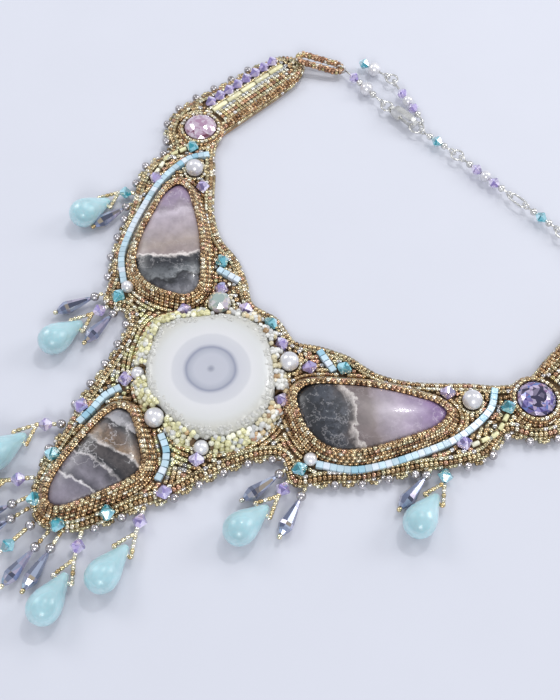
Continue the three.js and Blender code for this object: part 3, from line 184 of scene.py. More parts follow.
def rounded(points, count, closed=True):
    """A smooth path through points"""
    points = np.asarray(points, float)
    n = len(points)
    fine = []
    for i in range(n if closed else n - 1):
        if closed:
            a, b, c, d = (points[(i + k) % n] for k in (-1, 0, 1, 2))
        else:
            a, b, c, d = (points[min(max(i + k, 0), n - 1)] for k in (-1, 0, 1, 2))
        for t in np.linspace(0, 1, 10, endpoint=False):
            fine.append(0.5 * (2 * b + (c - a) * t + (2 * a - 5 * b + 4 * c - d) * t ** 2
                               + (3 * b - a - 3 * c + d) * t ** 3))
    if not closed:
        fine.append(points[-1])
    return evenly(np.array(fine), count, closed)


def tangents(path, closed=True):
    if closed:
        way = np.roll(path, -1, 0) - np.roll(path, 1, 0)
    else:
        way = np.gradient(path, axis=0)
    return way / np.linalg.norm(way, axis=1, keepdims=True)


def grown(path, distance):
    """A closed anticlockwise outline moved outwards"""
    way = tangents(path)
    return path + np.stack([way[:, 1], -way[:, 0]], 1) * distance


def length_of(path, closed=True):
    ends = np.vstack([path, path[:1]]) if closed else path
    return float(np.linalg.norm(np.diff(ends, axis=0), axis=1).sum())


def polar(radius, angle):
    return np.array([radius * math.cos(math.radians(angle)), radius * math.sin(math.radians(angle))])


def flipped(spot, side):
    return np.array([spot[0] * side, *spot[1:]])


def distance_to(points, path):
    """Each point's distance to a path's nearest point"""
    away = np.full(len(points), 1e9)
    for start in range(0, len(path), 200):
        gaps = points[:, None, :] - path[None, start:start + 200]
        away = np.minimum(away, np.sqrt((gaps ** 2).sum(2)).min(1))
    return away


def inside(points, outline):
    x, y = points[:, 0], points[:, 1]
    crossed = np.zeros(len(points), bool)
    for (ax, ay), (bx, by) in zip(outline, np.roll(outline, -1, 0)):
        if ay == by:
            continue
        spans = (ay > y) != (by > y)
        crossed ^= spans & (x < (bx - ax) * (y - ay) / (by - ay) + ax)
    return crossed


def rim_of(node, height):
    """The outline of an upright plate's corners at a height, in order"""
    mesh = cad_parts[node].data
    spots = {}
    for polygon in mesh.polygons:
        if abs(polygon.normal.z) > 0.3:
            continue
        corners = [mesh.vertices[i].co / MM for i in polygon.vertices]
        low = [tuple(round(v, 2) for v in c.xy) for c in corners if abs(c.z - height) < 0.05]
        if len(set(low)) == 2:
            a, b = set(low)
            spots.setdefault(a, set()).add(b)
            spots.setdefault(b, set()).add(a)
    start = min(spots, key=lambda p: p[1])
    order, previous, here = [start], None, start
    while True:
        onward = [p for p in spots[here] if p != previous]
        if not onward or onward[0] == start:
            break
        previous, here = here, onward[0]
        order.append(here)
    loop = np.array(order)
    area = (loop[:, 0] * np.roll(loop[:, 1], -1) - loop[:, 1] * np.roll(loop[:, 0], -1)).sum()
    return loop if area > 0 else loop[::-1]


class SetStone:
    """A stone's outline and middle as the frame has them, with the direction of its tip"""

    def __init__(self, node, turn, foot):
        points = node_points(node)
        self.middle = points[points[:, 2].argmax()][:2]
        self.outline = rounded(hull(points[:, :2]), 360)
        self.turn = turn
        self.foot = foot

    def spot(self, bearing, margin):
        wanted = polar(1, self.turn + bearing)
        away = self.outline - self.middle
        at = int((away @ wanted / np.linalg.norm(away, axis=1)).argmax())
        way = tangents(self.outline)[at]
        return self.outline[at] + np.array([way[1], -way[0]]) * (self.foot + margin)


# Places on the collar: a stone, a bearing from its own axis and the distance from its setting, in degrees and
# millimetres, for the right half.

BEZEL_FOOT = 3.0
SURROUND_FOOT = 3.3
ARM_TURN = 48
STONES = {
    "slice": SetStone("quartz_slice", 0, SURROUND_FOOT),
    "arm": SetStone("cabochon_right", ARM_TURN, BEZEL_FOOT),
    "pendant": SetStone("cabochon_pendant", -90, BEZEL_FOOT),
}
ARM_ACCENTS = [
    ("teal", "arm", 0, 15.1, 60), ("teal", "arm", 122, 2.9, 20), ("teal", "arm", -152, 5.5, 70),
    ("violet", "arm", -9, 4.7, 60), ("violet", "arm", 9, 2.2, 40), ("violet", "arm", 145, 3.2, 60),
    ("pearl", "arm", -150, 1.5, 0),
]
SLICE_ACCENTS = [
    ("violet", "slice", 161, 0.7, 70), ("violet", "slice", 111, 0.8, 20), ("teal", "slice", 91, 0.4, 0),
    ("violet", "slice", 74, 0.4, -20), ("violet", "slice", 22, -1.0, -70), ("violet", "slice", -50, 2.9, 40),
    ("violet", "slice", -130, 2.9, -40),
]
PENDANT_ACCENTS = [
    ("violet", "pendant", 121, 5.2, 60), ("teal", "pendant", 54, 1.8, -36), ("teal", "pendant", 11, 0.5, -60),
]
CUBE_ROWS = [
    ([("arm", -143, 0.2), ("arm", -118, 0.1), ("arm", -76, 0.1), ("arm", -34, 0.1), ("arm", -13, 0.6),
      ("arm", -3, 3.0), ("arm", 0, 8.3), ("arm", 1, 12.0)], (1, -1)),
    ([("arm", 139, 6.6), ("arm", 133, 1.2)], (1, -1)),
    ([("pendant", -120, 0.6), ("pendant", -133, 0.4), ("pendant", -143, 1.6), ("pendant", -148, 2.5)], (1,)),
    ([("pendant", 166, 1.6), ("pendant", 147, 1.9), ("pendant", 136, 1.2), ("pendant", 126, 0.4)], (1,)),
]
CUBE_REACH = 1.2
CUBE_PITCH = 2.02
CREAM_PITCH = 2.6
CREAM_ARCS = [("arm", -6.5, 6.0), ("arm", -4, 8.0), ("arm", -2.2, 10.2), ("arm", -1.2, 12.6)]


def spot_of(stone, bearing, margin, side=1):
    return flipped(STONES[stone].spot(bearing, margin), side)


COLLAR = rounded(rim_of("backing", 0.0), 900)


# Meshes

def put(name, points, faces, material, body="necklace", smooth=True, colour=None, attributes=None):
    """A new piece from points in millimetres"""
    mesh = bpy.data.meshes.new(name)
    points = np.asarray(points, float) * MM
    if isinstance(faces, np.ndarray):
        corner_count = faces.shape[1]
        mesh.vertices.add(len(points))
        mesh.vertices.foreach_set("co", points.ravel())
        mesh.loops.add(faces.size)
        mesh.loops.foreach_set("vertex_index", faces.ravel().astype(np.int32))
        mesh.polygons.add(len(faces))
        mesh.polygons.foreach_set("loop_start", np.arange(0, faces.size, corner_count, dtype=np.int32))
        mesh.update(calc_edges=True)
    else:
        mesh.from_pydata(points.tolist(), [], faces)
    mesh.polygons.foreach_set("use_smooth", np.full(len(mesh.polygons), smooth))
    if colour is not None:
        layer = mesh.color_attributes.new("bead_colour", "FLOAT_COLOR", "POINT")
        layer.data.foreach_set("color", np.hstack([colour, np.ones((len(colour), 1))]).ravel())
    for label, values in (attributes or {}).items():
        mesh.attributes.new(label, "FLOAT", "POINT").data.foreach_set("value", np.asarray(values, float))
    mesh.validate()
    mesh.update()
    mesh.materials.append(material)
    piece = bpy.data.objects.new(name, mesh)
    bpy.context.scene.collection.objects.link(piece)
    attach(piece, body)
    return piece


def round_section(sides):
    angles = np.arange(sides) * 2 * math.pi / sides
    return np.stack([np.cos(angles), np.sin(angles)], 1)


SQUARE_SECTION = np.array([(1, -0.84), (1, 0.84), (0.84, 1), (-0.84, 1),
                           (-1, 0.84), (-1, -0.84), (-0.84, -1), (0.84, -1)])
# Each bead has a section, a profile of places along its hole with their radius, and a smooth or cut face
BEAD_SHAPES = {
    "seed": (round_section(8), [(-0.5, 0.55), (-0.37, 0.87), (0, 1), (0.37, 0.87), (0.5, 0.55)], True),
    "cylinder": (round_section(8), [(-0.5, 0.8), (-0.42, 1), (0.42, 1), (0.5, 0.8)], True),
    "cube": (SQUARE_SECTION, [(-0.5, 0.84), (-0.44, 1), (0.44, 1), (0.5, 0.84)], False),
    "bicone": (round_section(6), [(-0.5, 0.3), (-0.06, 1), (0.06, 1), (0.5, 0.3)], False),
    "round": (round_section(16),
              [(-0.5 * math.cos(a), math.sin(a)) for a in np.linspace(0.16, math.pi - 0.16, 9)], True),
}


def beads(name, shape, places, headings, lengths, widths, colour, material, tilt=None, body="necklace"):
    """Many beads of one shape as one piece. Headings run along their holes."""
    places = np.asarray(places, float).reshape(-1, 3)
    count = len(places)
    if not count:
        return None
    along = np.broadcast_to(np.asarray(headings, float), (count, 3))
    along = along / np.linalg.norm(along, axis=1, keepdims=True)
    up = np.broadcast_to(np.array([0, 0, 1.0]) if tilt is None else np.asarray(tilt, float), (count, 3))
    across = np.cross(up, along)
    weak = np.linalg.norm(across, axis=1) < 1e-6
    across[weak] = np.cross(np.array([1.0, 0, 0]), along[weak])
    across /= np.linalg.norm(across, axis=1, keepdims=True)
    above = np.cross(along, across)
    section, rings, smooth = BEAD_SHAPES[shape]
    sides = len(section)
    template = np.array([(x, y * radius, z * radius) for x, radius in rings for y, z in section]
                        + [(rings[0][0] * 0.72, 0, 0), (rings[-1][0] * 0.72, 0, 0)])
    faces = []
    for ring in range(len(rings) - 1):
        a, b = ring * sides, (ring + 1) * sides
        for i in range(sides):
            j = (i + 1) % sides
            faces += [(a + i, a + j, b + j), (a + i, b + j, b + i)]
    first, last = len(rings) * sides, len(rings) * sides + 1
    top = (len(rings) - 1) * sides
    for i in range(sides):
        j = (i + 1) % sides
        faces += [(i, first, j), (top + i, top + j, last)]
    faces = np.array(faces)[:, ::-1]
    lengths = np.broadcast_to(np.asarray(lengths, float), (count,))[:, None, None]
    halves = np.broadcast_to(np.asarray(widths, float), (count,))[:, None, None] / 2
    points = (places[:, None] + along[:, None] * template[None, :, :1] * lengths
              + (across[:, None] * template[None, :, 1:2] + above[:, None] * template[None, :, 2:]) * halves)
    size = len(template)
    everywhere = (faces[None] + (np.arange(count) * size)[:, None, None]).reshape(-1, 3)
    shades = np.repeat(np.broadcast_to(np.asarray(colour, float), (count, 3)), size, axis=0)
    return put(name, points.reshape(-1, 3), everywhere, material, body, smooth, shades)


def turned(name, rows, start, end, material, sides=32, body="necklace", smooth=True):
    """A turned body between two places. Rows give the share of the way and the radius."""
    start, end = np.asarray(start, float), np.asarray(end, float)
    along = (end - start) / np.linalg.norm(end - start)
    side = np.cross(along, [0, 0, 1.0])
    if np.linalg.norm(side) < 1e-6:
        side = np.array([1.0, 0, 0])
    side /= np.linalg.norm(side)
    up = np.cross(side, along)
    section = round_section(sides)
    points = [start + (end - start) * rows[0][0]]
    for share, radius in rows:
        middle = start + (end - start) * share
        points += [middle + (side * c + up * s) * radius for c, s in section]
    points.append(start + (end - start) * rows[-1][0])
    faces = []
    for i in range(sides):
        j = (i + 1) % sides
        faces.append((0, 1 + j, 1 + i))
        for level in range(len(rows) - 1):
            a, b = 1 + level * sides, 1 + (level + 1) * sides
            faces.append((a + i, a + j, b + j, b + i))
        top = 1 + (len(rows) - 1) * sides
        faces.append((top + i, top + j, len(points) - 1))
    return put(name, points, faces, material, body, smooth)


def dome(name, outline, middle, rows, material, turn, stone_node, roughen=None):
    """A stone through rings of its outline: each row is a share of its size and a height in millimetres"""
    count = len(outline)
    points, faces = [], []
    for share, height in rows:
        ring = middle + (outline - middle) * share
        points.append(np.column_stack([ring, np.full(count, height)]))
    points.append(np.array([[*middle, rows[-1][1] + 0.02]]))
    points = np.vstack(points)
    if roughen is not None:
        points = roughen(points)
    for level in range(len(rows) - 1):
        for i in range(count):
            j = (i + 1) % count
            a, b = level * count, (level + 1) * count
            faces.append((a + i, a + j, b + j, b + i))
    top = (len(rows) - 1) * count
    faces += [(top + i, top + (i + 1) % count, len(points) - 1) for i in range(count)]
    faces.append(tuple(range(count - 1, -1, -1)))
    tip = polar(1, turn)
    away = points[:, :2] - middle
    along = away @ tip
    across = away @ np.array([-tip[1], tip[0]])
    reach = np.linalg.norm(away, axis=1)
    marks = {"along": along / np.abs(along).max(), "across": across / np.abs(across).max(),
             "reach": reach / reach.max()}
    piece = put(name, points, faces, material, attributes=marks)
    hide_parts(stone_node)
    return piece


def ring_of_wire(name, middle, radius, wire, material, stretch=0.0, body="necklace", upright=None):
    """A closed ring of round wire, lying level or upright along a heading"""
    count, sides = 40, 12
    angles = np.arange(count) * 2 * math.pi / count
    path = np.stack([np.cos(angles) * radius + np.sign(np.cos(angles).round(6)) * stretch,
                     np.sin(angles) * radius, np.zeros(count)], 1)
    if upright is not None:
        heading = np.array([upright[0], upright[1], 0.0])
        heading /= np.linalg.norm(heading)
        path = path[:, :1] * heading + path[:, 1:2] * np.array([0, 0, 1.0])
    return tube(name, path + middle, wire / 2, material, True, sides, body)


def tube(name, path, radius, material, closed, sides=10, body="necklace"):
    path = np.asarray(path, float)
    count = len(path)
    way = tangents(path, closed)
    normal = np.cross(way[0], [0.3, 0.2, 0.93])
    normal /= np.linalg.norm(normal)
    points = []
    for i in range(count):
        normal = normal - way[i] * (normal @ way[i])
        normal /= np.linalg.norm(normal)
        other = np.cross(way[i], normal)
        points += [path[i] + (normal * c + other * s) * radius for c, s in round_section(sides)]
    faces = []
    turn = 0
    if closed:
        first = np.array(points[0]) - path[0]
        moved = normal * radius
        other = np.cross(way[0], first / radius)
        turn = int(round(math.atan2(moved @ other, moved @ (first / radius)) / (2 * math.pi) * sides))
    for level in range(count if closed else count - 1):
        shift = turn if level == count - 1 else 0
        a, b = level * sides, (level + 1) % count * sides
        for i in range(sides):
            j = (i + 1) % sides
            faces.append((a + i, a + j, b + (j + shift) % sides, b + (i + shift) % sides))
    if not closed:
        faces += [tuple(range(sides - 1, -1, -1)), tuple((count - 1) * sides + i for i in range(sides))]
    return put(name, points, faces, material, body)


# Finishes

def finish(name, build, roughness=0.3, metallic=0.0, **sockets):
    """A node material: build gets the node tree, its shader and a helper that adds nodes"""
    material = bpy.data.materials.new(name)
    material.use_nodes = True
    tree = material.node_tree
    shader = tree.nodes["Principled BSDF"]
    shader.inputs["Roughness"].default_value = roughness
    shader.inputs["Metallic"].default_value = metallic
    for label, value in sockets.items():
        shader.inputs[label.replace("_", " ").title().replace("Ior", "IOR")].default_value = value

    def add(kind, **values):
        node = tree.nodes.new(kind)
        for label, value in values.items():
            if label in node.inputs:
                node.inputs[label].default_value = value
            else:
                setattr(node, label, value)
        return node

    build(tree.links.new, shader, add)
    return material


def ramp(add, stops, interpolation="LINEAR"):
    node = add("ShaderNodeValToRGB")
    node.color_ramp.interpolation = interpolation
    while len(node.color_ramp.elements) < len(stops):
        node.color_ramp.elements.new(0.5)
    for element, (place, colour) in zip(node.color_ramp.elements, stops):
        element.position = place
        element.color = (*linear(colour), 1) if isinstance(colour, str) else (*colour, 1)
    return node


def mixed(add, link, factor, first, second, blend="MIX"):
    node = add("ShaderNodeMix", data_type="RGBA", blend_type=blend)
    for socket, value in ((node.inputs[0], factor), (node.inputs[6], first), (node.inputs[7], second)):
        if isinstance(value, (float, int)):
            socket.default_value = value
        elif isinstance(value, tuple):
            socket.default_value = (*value, 1)
        else:
            link(value, socket)
    return node.outputs[2]


def bumped(link, shader, add, scale, strength, distance=0.0001, detail=3.0):
    noise = add("ShaderNodeTexNoise", Scale=scale, Detail=detail)
    place = add("ShaderNodeTexCoord")
    link(place.outputs["Object"], noise.inputs["Vector"])
    bump = add("ShaderNodeBump", Strength=strength, Distance=distance)
    link(noise.outputs["Fac"], bump.inputs["Height"])
    link(bump.outputs["Normal"], shader.inputs["Normal"])
    return noise


def bead_finish(name, roughness, metallic, spread=0.25, **sockets):
    """Colour from the bead itself, with a slight mottle over it"""
    def build(link, shader, add):
        own = add("ShaderNodeAttribute", attribute_name="bead_colour")
        noise = bumped(link, shader, add, 900, 0.15)
        darker = ramp(add, ((0.3, (1 - spread, 1 - spread, 1 - spread)), (0.7, (1.0, 1.0, 1.0))))
        link(noise.outputs["Fac"], darker.inputs["Fac"])
        link(mixed(add, link, 1.0, own.outputs["Color"], darker.outputs["Color"], "MULTIPLY"),
             shader.inputs["Base Color"])
    return finish(name, build, roughness, metallic, **sockets)


def painted_facet_light(link, add, stops, scale=2.2, cells=620.0, broken=0.2):
    """Each facet takes a tone from the way that it faces: painted highlights and painted shade that stand in
    for the light each facet catches, broken up by painted reflections of the far facets that cut glass shows
    """
    place = add("ShaderNodeTexCoord")
    # Noise on the facet normal paints each facet lighter or darker, as the light that it catches would
    noise = add("ShaderNodeTexNoise", Scale=scale, Detail=1.0)
    link(place.outputs["Normal"], noise.inputs["Vector"])
    # Voronoi cells paint patches of reflection from the far facets inside the glass
    inner = add("ShaderNodeTexVoronoi", Scale=cells)
    link(place.outputs["Object"], inner.inputs["Vector"])
    blend = add("ShaderNodeMath", operation="MULTIPLY_ADD")
    link(inner.outputs["Color"], blend.inputs[0])
    blend.inputs[1].default_value = broken
    link(noise.outputs["Fac"], blend.inputs[2])
    shades = ramp(add, stops)
    link(blend.outputs[0], shades.inputs["Fac"])
    return shades.outputs["Color"]


def crystal_finish(name, colour, transmission=0.35):
    """Cut glass in its own colour, with painted shade and painted highlights on its facets for the light that
    they catch
    """
    def build(link, shader, add):
        # dark is painted facet shade and pale a painted facet highlight; colour is the glass's own
        dark, pale = tuple(c * 0.45 for c in colour), tuple(min(1, c * 1.3 + 0.34) for c in colour)
        stops = ((0.42, dark), (0.49, tuple(colour)), (0.55, pale), (0.60, tuple(colour)), (0.66, dark),
                 (0.74, pale))
        link(painted_facet_light(link, add, stops, 3.2), shader.inputs["Base Color"])
    return finish(name, build, 0.05, 0.0, transmission_weight=transmission, ior=1.62, coat_weight=1.0)


def rainbow_finish(name, stops):
    """Coated crystal: each facet takes a tone by the way that it faces, partly the coat's own colours and
    partly painted shade and painted reflections
    """
    def build(link, shader, add):
        link(painted_facet_light(link, add, stops, 3.4), shader.inputs["Base Color"])
    return finish(name, build, 0.06, 0.25, transmission_weight=0.2, ior=1.6, coat_weight=1.0)


def grained(name, tones, scale, strength, roughness, metallic=0.0, distance=0.0001, detail=3.0, **sockets):
    """A finish whose colour wanders between tones with the grain of its surface"""
    def build(link, shader, add):
        noise = bumped(link, shader, add, scale, strength, distance, detail)
        shade = ramp(add, tones)
        link(noise.outputs["Fac"], shade.inputs["Fac"])
        link(shade.outputs["Color"], shader.inputs["Base Color"])
    return finish(name, build, roughness, metallic, **sockets)


def leather_finish():
    tan = tuple(colours().leather)
    tones = ((0.3, tuple(c * 0.7 for c in tan)), (0.7, tan))
    return grained("suede leather", tones, 1400, 0.5, 0.85, distance=0.0002, detail=6.0)


def cloth_finish():
    return grained("stitched bronze cloth", ((0.3, "54402a"), (0.7, "7d6242")), 1800, 0.4, 0.7)


def silver_finish():
    return grained("silver plate", ((0.35, "c9c8c4"), (0.65, "ecebe6")), 500, 0.06, 0.26, 0.85)


def pearl_finish():
    return grained("silver pearl", ((0.3, "c8c7cb"), (0.7, "eeedef")), 260, 0.05, 0.28, 0.4, coat_weight=0.6)


def steel_finish():
    tones = ((0.3, "9d9897"), (0.7, "cfcbce"))
    return grained("dark silver rounds", tones, 380, 0.08, 0.22, 0.9, coat_weight=0.4)


def aqua_finish():
    def build(link, shader, add):
        place = add("ShaderNodeTexCoord")
        noise = add("ShaderNodeTexNoise", Scale=120.0, Detail=2.0)
        link(place.outputs["Object"], noise.inputs["Vector"])
        tone = tuple(colours().aqua)
        shade = ramp(add, ((0.3, tuple(c * 0.86 for c in tone)), (0.7, tuple(min(1, c * 1.1) for c in tone))))
        link(noise.outputs["Fac"], shade.inputs["Fac"])
        link(shade.outputs["Color"], shader.inputs["Base Color"])
    return finish("aqua glass", build, 0.3, 0.0, transmission_weight=0.15, subsurface_weight=0.8,
                  subsurface_radius=(0.003, 0.005, 0.005), coat_weight=0.15)


def agate_finish(name, stops, mottled, veined):
    """Banded agate: colours run along the stone's own axis, broken by noise. `mottled` says where it is
    speckled dark and pale, and `veined` where fine white cracks cross it, as shares of its length."""
    def build(link, shader, add):
        place = add("ShaderNodeTexCoord")
        along = add("ShaderNodeAttribute", attribute_name="along")
        across = add("ShaderNodeAttribute", attribute_name="across")

        def noise(scale, detail, roughness=0.6):
            node = add("ShaderNodeTexNoise", Scale=scale, Detail=detail, Roughness=roughness)
            link(place.outputs["Object"], node.inputs["Vector"])
            return node.outputs["Fac"]

        def shifted(value, amount, base):
            node = add("ShaderNodeMath", operation="MULTIPLY_ADD")
            link(value, node.inputs[0])
            node.inputs[1].default_value = amount
            link(base, node.inputs[2])
            return node.outputs[0]

        def mask(value, shades):
            node = ramp(add, [(at, (shade, shade, shade)) for at, shade in shades])
            link(value, node.inputs["Fac"])
            return node.outputs["Color"]

        line = shifted(noise(75.0, 3.0), 0.5, along.outputs["Fac"])
        line = shifted(noise(520.0, 8.0, 0.7), 0.16, line)
        line = shifted(across.outputs["Fac"], 0.09, line)
        share = add("ShaderNodeMapRange")
        share.inputs["From Min"].default_value = -0.67
        share.inputs["From Max"].default_value = 1.33
        link(line, share.inputs["Value"])
        share = share.outputs["Result"]
        bands = ramp(add, stops)
        link(share, bands.inputs["Fac"])
        colour = bands.outputs["Color"]
        cloudy = mask(noise(240.0, 6.0), ((0.3, 0.78), (0.7, 1.15)))
        colour = mixed(add, link, 1.0, colour, cloudy, "MULTIPLY")
        where = mask(share, mottled)
        blots = mask(noise(330.0, 9.0, 0.75), ((0.44, 1.0), (0.52, 0.0)))
        flecks = mask(noise(650.0, 9.0, 0.8), ((0.60, 0.0), (0.66, 0.85)))
        for spots, tone in ((blots, "1b1c20"), (flecks, "b9bcbd")):
            here = mixed(add, link, 1.0, where, spots, "MULTIPLY")
            colour = mixed(add, link, here, colour, tuple(linear(tone)))
        cracks = mask(noise(62.0, 7.0, 0.6), ((0.492, 0.0), (0.5, 0.75), (0.508, 0.0)))
        cracked = mixed(add, link, 1.0, mask(share, veined), cracks, "MULTIPLY")
        link(mixed(add, link, cracked, colour, tuple(linear("f1edee"))), shader.inputs["Base Color"])
    return finish(name, build, 0.3, 0.0, coat_weight=0.12, coat_roughness=0.08)


QUARTZ_RINGS = ((0.0, "7f828f"), (0.05, "989ba7"), (0.085, "b3b5be"), (0.24, "b4b6bf"), (0.315, "a5a8b3"),
                (0.345, "8c90a0"), (0.37, "acaeb8"), (0.40, "bfc0c6"), (0.53, "c3c4c8"), (0.56, "cfcfd1"),
                (0.74, "c9cac9"), (0.86, "bfbeb7"), (1.0, "b4b3a8"))


def quartz_finish():
    """Milky quartz with rings round its middle and grains near its rim"""
    def build(link, shader, add):
        place = add("ShaderNodeTexCoord")
        reach = add("ShaderNodeAttribute", attribute_name="reach")
        noise = add("ShaderNodeTexNoise", Scale=90.0, Detail=5.0)
        link(place.outputs["Object"], noise.inputs["Vector"])
        wander = add("ShaderNodeMath", operation="MULTIPLY_ADD")
        link(noise.outputs["Fac"], wander.inputs[0])
        wander.inputs[1].default_value = 0.05
        link(reach.outputs["Fac"], wander.inputs[2])
        rings = ramp(add, QUARTZ_RINGS)
        link(wander.outputs[0], rings.inputs["Fac"])
        link(rings.outputs["Color"], shader.inputs["Base Color"])
        grains = add("ShaderNodeTexVoronoi", Scale=420.0)
        link(place.outputs["Object"], grains.inputs["Vector"])
        rim = ramp(add, ((0.72, (0.0, 0.0, 0.0)), (0.95, (1.0, 1.0, 1.0))))
        link(reach.outputs["Fac"], rim.inputs["Fac"])
        height = mixed(add, link, 1.0, grains.outputs["Distance"], rim.outputs["Color"], "MULTIPLY")
        bump = add("ShaderNodeBump", Strength=0.5, Distance=0.0004)
        link(height, bump.inputs["Height"])
        link(bump.outputs["Normal"], shader.inputs["Normal"])
    return finish("milky quartz", build, 0.28, 0.0, subsurface_weight=0.7,
                  subsurface_radius=(0.004, 0.004, 0.004), coat_weight=0.3)


def surface_finish():
    tone = tuple(colours().surface)
    tones = ((0.3, tuple(c * 0.985 for c in tone)), (0.7, tone))
    return grained("pale surface", tones, 30, 0.02, 0.7)


FINISHES = {}


def use(name, make):
    if name not in FINISHES:
        FINISHES[name] = make()
    return FINISHES[name]


def metal_beads():
    return use("metal beads", lambda: bead_finish("metallic seed beads", 0.2, 0.88, coat_weight=0.6))


def glass_beads():
    return use("glass beads", lambda: bead_finish("glass seed beads", 0.16, 0.0, 0.12, coat_weight=0.5))


def silver():
    return use("silver", silver_finish)


def pearl():
    return use("pearl", pearl_finish)


def steel():
    return use("steel", steel_finish)


def crystal(kind):
    return use(kind, lambda: crystal_finish(f"{kind} crystal", tuple(getattr(colours(), kind))))


def carried(node, material):
    """A CAD node that stays gets a finish of its own"""
    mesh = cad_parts[node].data
    if not mesh.materials:
        mesh.materials.append(material)
    for slot in range(len(mesh.materials)):
        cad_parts[node].material_slots[slot].material = material


# Places of the beads that stand out of the carpet

SIDES = ((1, "right"), (-1, "left"))
CRYSTAL_MIDDLES = {side: middle_of(f"crystal_{name}")[:2] for side, name in SIDES}
STRAP_ALONG = polar(1, 92.3)
STRAP_OUT = polar(1, 2.3)
ROW_START, ROW_END = 8.95, 43.0
BICONE_OUT, CREAM_OUT, GOLD_OUT, ROLL_OUT = 7.5, 4.1, -2.5, -4.2
PEARLS = ["pearl_tip_right", "pearl_tip_left", "pearl_slice_upper", "pearl_slice_lower", "pearl_slice_right",
          "pearl_slice_left"]


def on_strap(out, along, side=1):
    return flipped(CRYSTAL_MIDDLES[1] + STRAP_OUT * out + STRAP_ALONG * along, side)


def accents():
    """Every bicone and small pearl sewn into the carpet: kind, place and the direction of its hole"""
    found = []
    for kind, stone, bearing, margin, turn in ARM_ACCENTS + PENDANT_ACCENTS:
        for side in (1, -1):
            found.append((kind, spot_of(stone, bearing, margin, side), turn if side > 0 else 180 - turn))
    for kind, stone, bearing, margin, turn in SLICE_ACCENTS:
        found.append((kind, spot_of(stone, bearing, margin), turn))
    return found


def sewn_path(rows, side, count):
    """A smooth open path through places beside the stones"""
    spots = [spot_of(stone, bearing, margin + CUBE_REACH, side) for stone, bearing, margin in rows]
    return rounded(spots, count, closed=False)


def cube_paths():
    paths = []
    for rows, sides in CUBE_ROWS:
        for side in sides:
            length = length_of(sewn_path(rows, side, 200), False)
            paths.append(sewn_path(rows, side, int(length / CUBE_PITCH) + 1))
    return paths


def cream_arcs():
    """The short curved rows of cream bugles beyond the cubes, near each arm's tip"""
    paths = []
    for side in (1, -1):
        rough = sewn_path(CREAM_ARCS, side, 100)
        paths.append(evenly(rough, int(length_of(rough, False) / CREAM_PITCH), closed=False))
    return paths


def edge_parts():
    """The collar's outline as outer and inner stretches"""
    count = len(COLLAR)
    right = [i for i in range(count) if COLLAR[i, 0] > 0]
    tip = max(right, key=lambda i: COLLAR[i, 1])
    outer = np.concatenate([np.arange(count - tip, count), np.arange(0, tip)])
    inner = np.arange(tip, count - tip)
    return COLLAR[outer], COLLAR[inner]


def above(points, height):
    points = np.asarray(points, float).reshape(-1, 2)
    return np.column_stack([points, np.full(len(points), float(height))])


def level(vectors):
    vectors = np.asarray(vectors, float).reshape(-1, 2)
    return np.column_stack([vectors, np.zeros(len(vectors))])


def outward(path, closed=True):
    way = tangents(path, closed)
    return np.stack([way[:, 1], -way[:, 0]], 1)


# Stones

RIGHT_BANDS = ((0.0, "8a898e"), (0.05, "3c3d43"), (0.12, "1b1d21"), (0.18, "2a2d33"), (0.25, "3c4048"),
               (0.30, "4c4e55"), (0.345, "484242"), (0.375, "a39b97"), (0.385, "c9c2bd"), (0.395, "6f6464"),
               (0.48, "746968"), (0.51, "857a7d"), (0.60, "958b95"), (0.70, "9f93a2"), (0.80, "93839c"),
               (0.88, "866f95"), (1.0, "765e8c"))
LEFT_BANDS = ((0.0, "a5a3a6"), (0.07, "7c7c82"), (0.12, "55565c"), (0.155, "17181b"), (0.175, "6f7275"),
              (0.24, "4b4e52"), (0.30, "22242a"), (0.35, "2b2d33"), (0.375, "d8d0cc"), (0.39, "8d807f"),
              (0.46, "978a84"), (0.56, "9a8f92"), (0.66, "a2979f"), (0.74, "b1a7b1"), (0.78, "8c818c"),
              (0.86, "93839a"), (1.0, "7d6b86"))
PENDANT_BANDS = ((0.0, "55565c"), (0.06, "8c8c92"), (0.14, "a3a1a4"), (0.16, "1d1e22"), (0.21, "4b4647"),
                 (0.27, "6d5c50"), (0.34, "86705a"), (0.37, "c4bdb9"), (0.385, "3a3536"), (0.46, "4a4545"),
                 (0.52, "2a2a2e"), (0.545, "b9b4b4"), (0.56, "55525a"), (0.66, "77737c"), (0.72, "4a4850"),
                 (0.735, "d0cccd"), (0.75, "6f6b76"), (0.86, "837d88"), (1.0, "615a66"))
RIGHT_MOTTLES = ((0.0, 0.8), (0.28, 0.75), (0.36, 0.2), (0.5, 0.0), (1.0, 0.0))
LEFT_MOTTLES = ((0.0, 0.35), (0.14, 0.55), (0.34, 0.6), (0.38, 0.1), (0.5, 0.0), (1.0, 0.0))
PENDANT_MOTTLES = ((0.0, 0.35), (0.3, 0.5), (0.55, 0.5), (0.62, 0.15), (1.0, 0.1))
ARM_CRACKS = ((0.0, 0.22), (0.32, 0.25), (0.42, 0.1), (0.7, 0.12), (0.85, 0.35), (1.0, 0.3))
PENDANT_CRACKS = ((0.0, 0.5), (0.55, 0.5), (0.62, 0.3), (1.0, 0.3))
CABOCHON_ROWS = ((0.985, 1.65), (1.0, 2.4), (1.0, 4.6), (0.985, 5.2), (0.95, 5.85), (0.89, 6.45),
                 (0.80, 6.95), (0.68, 7.3), (0.54, 7.53), (0.38, 7.68), (0.22, 7.76), (0.08, 7.79))
SLICE_ROWS = ((0.965, 1.65), (0.99, 2.6), (1.0, 4.0), (1.0, 5.4), (0.985, 6.4), (0.955, 6.95), (0.915, 7.2),
              (0.87, 7.3), (0.82, 7.36), (0.74, 7.38), (0.62, 7.38), (0.5, 7.38), (0.36, 7.36), (0.22, 7.34),
              (0.12, 7.3), (0.05, 7.26))


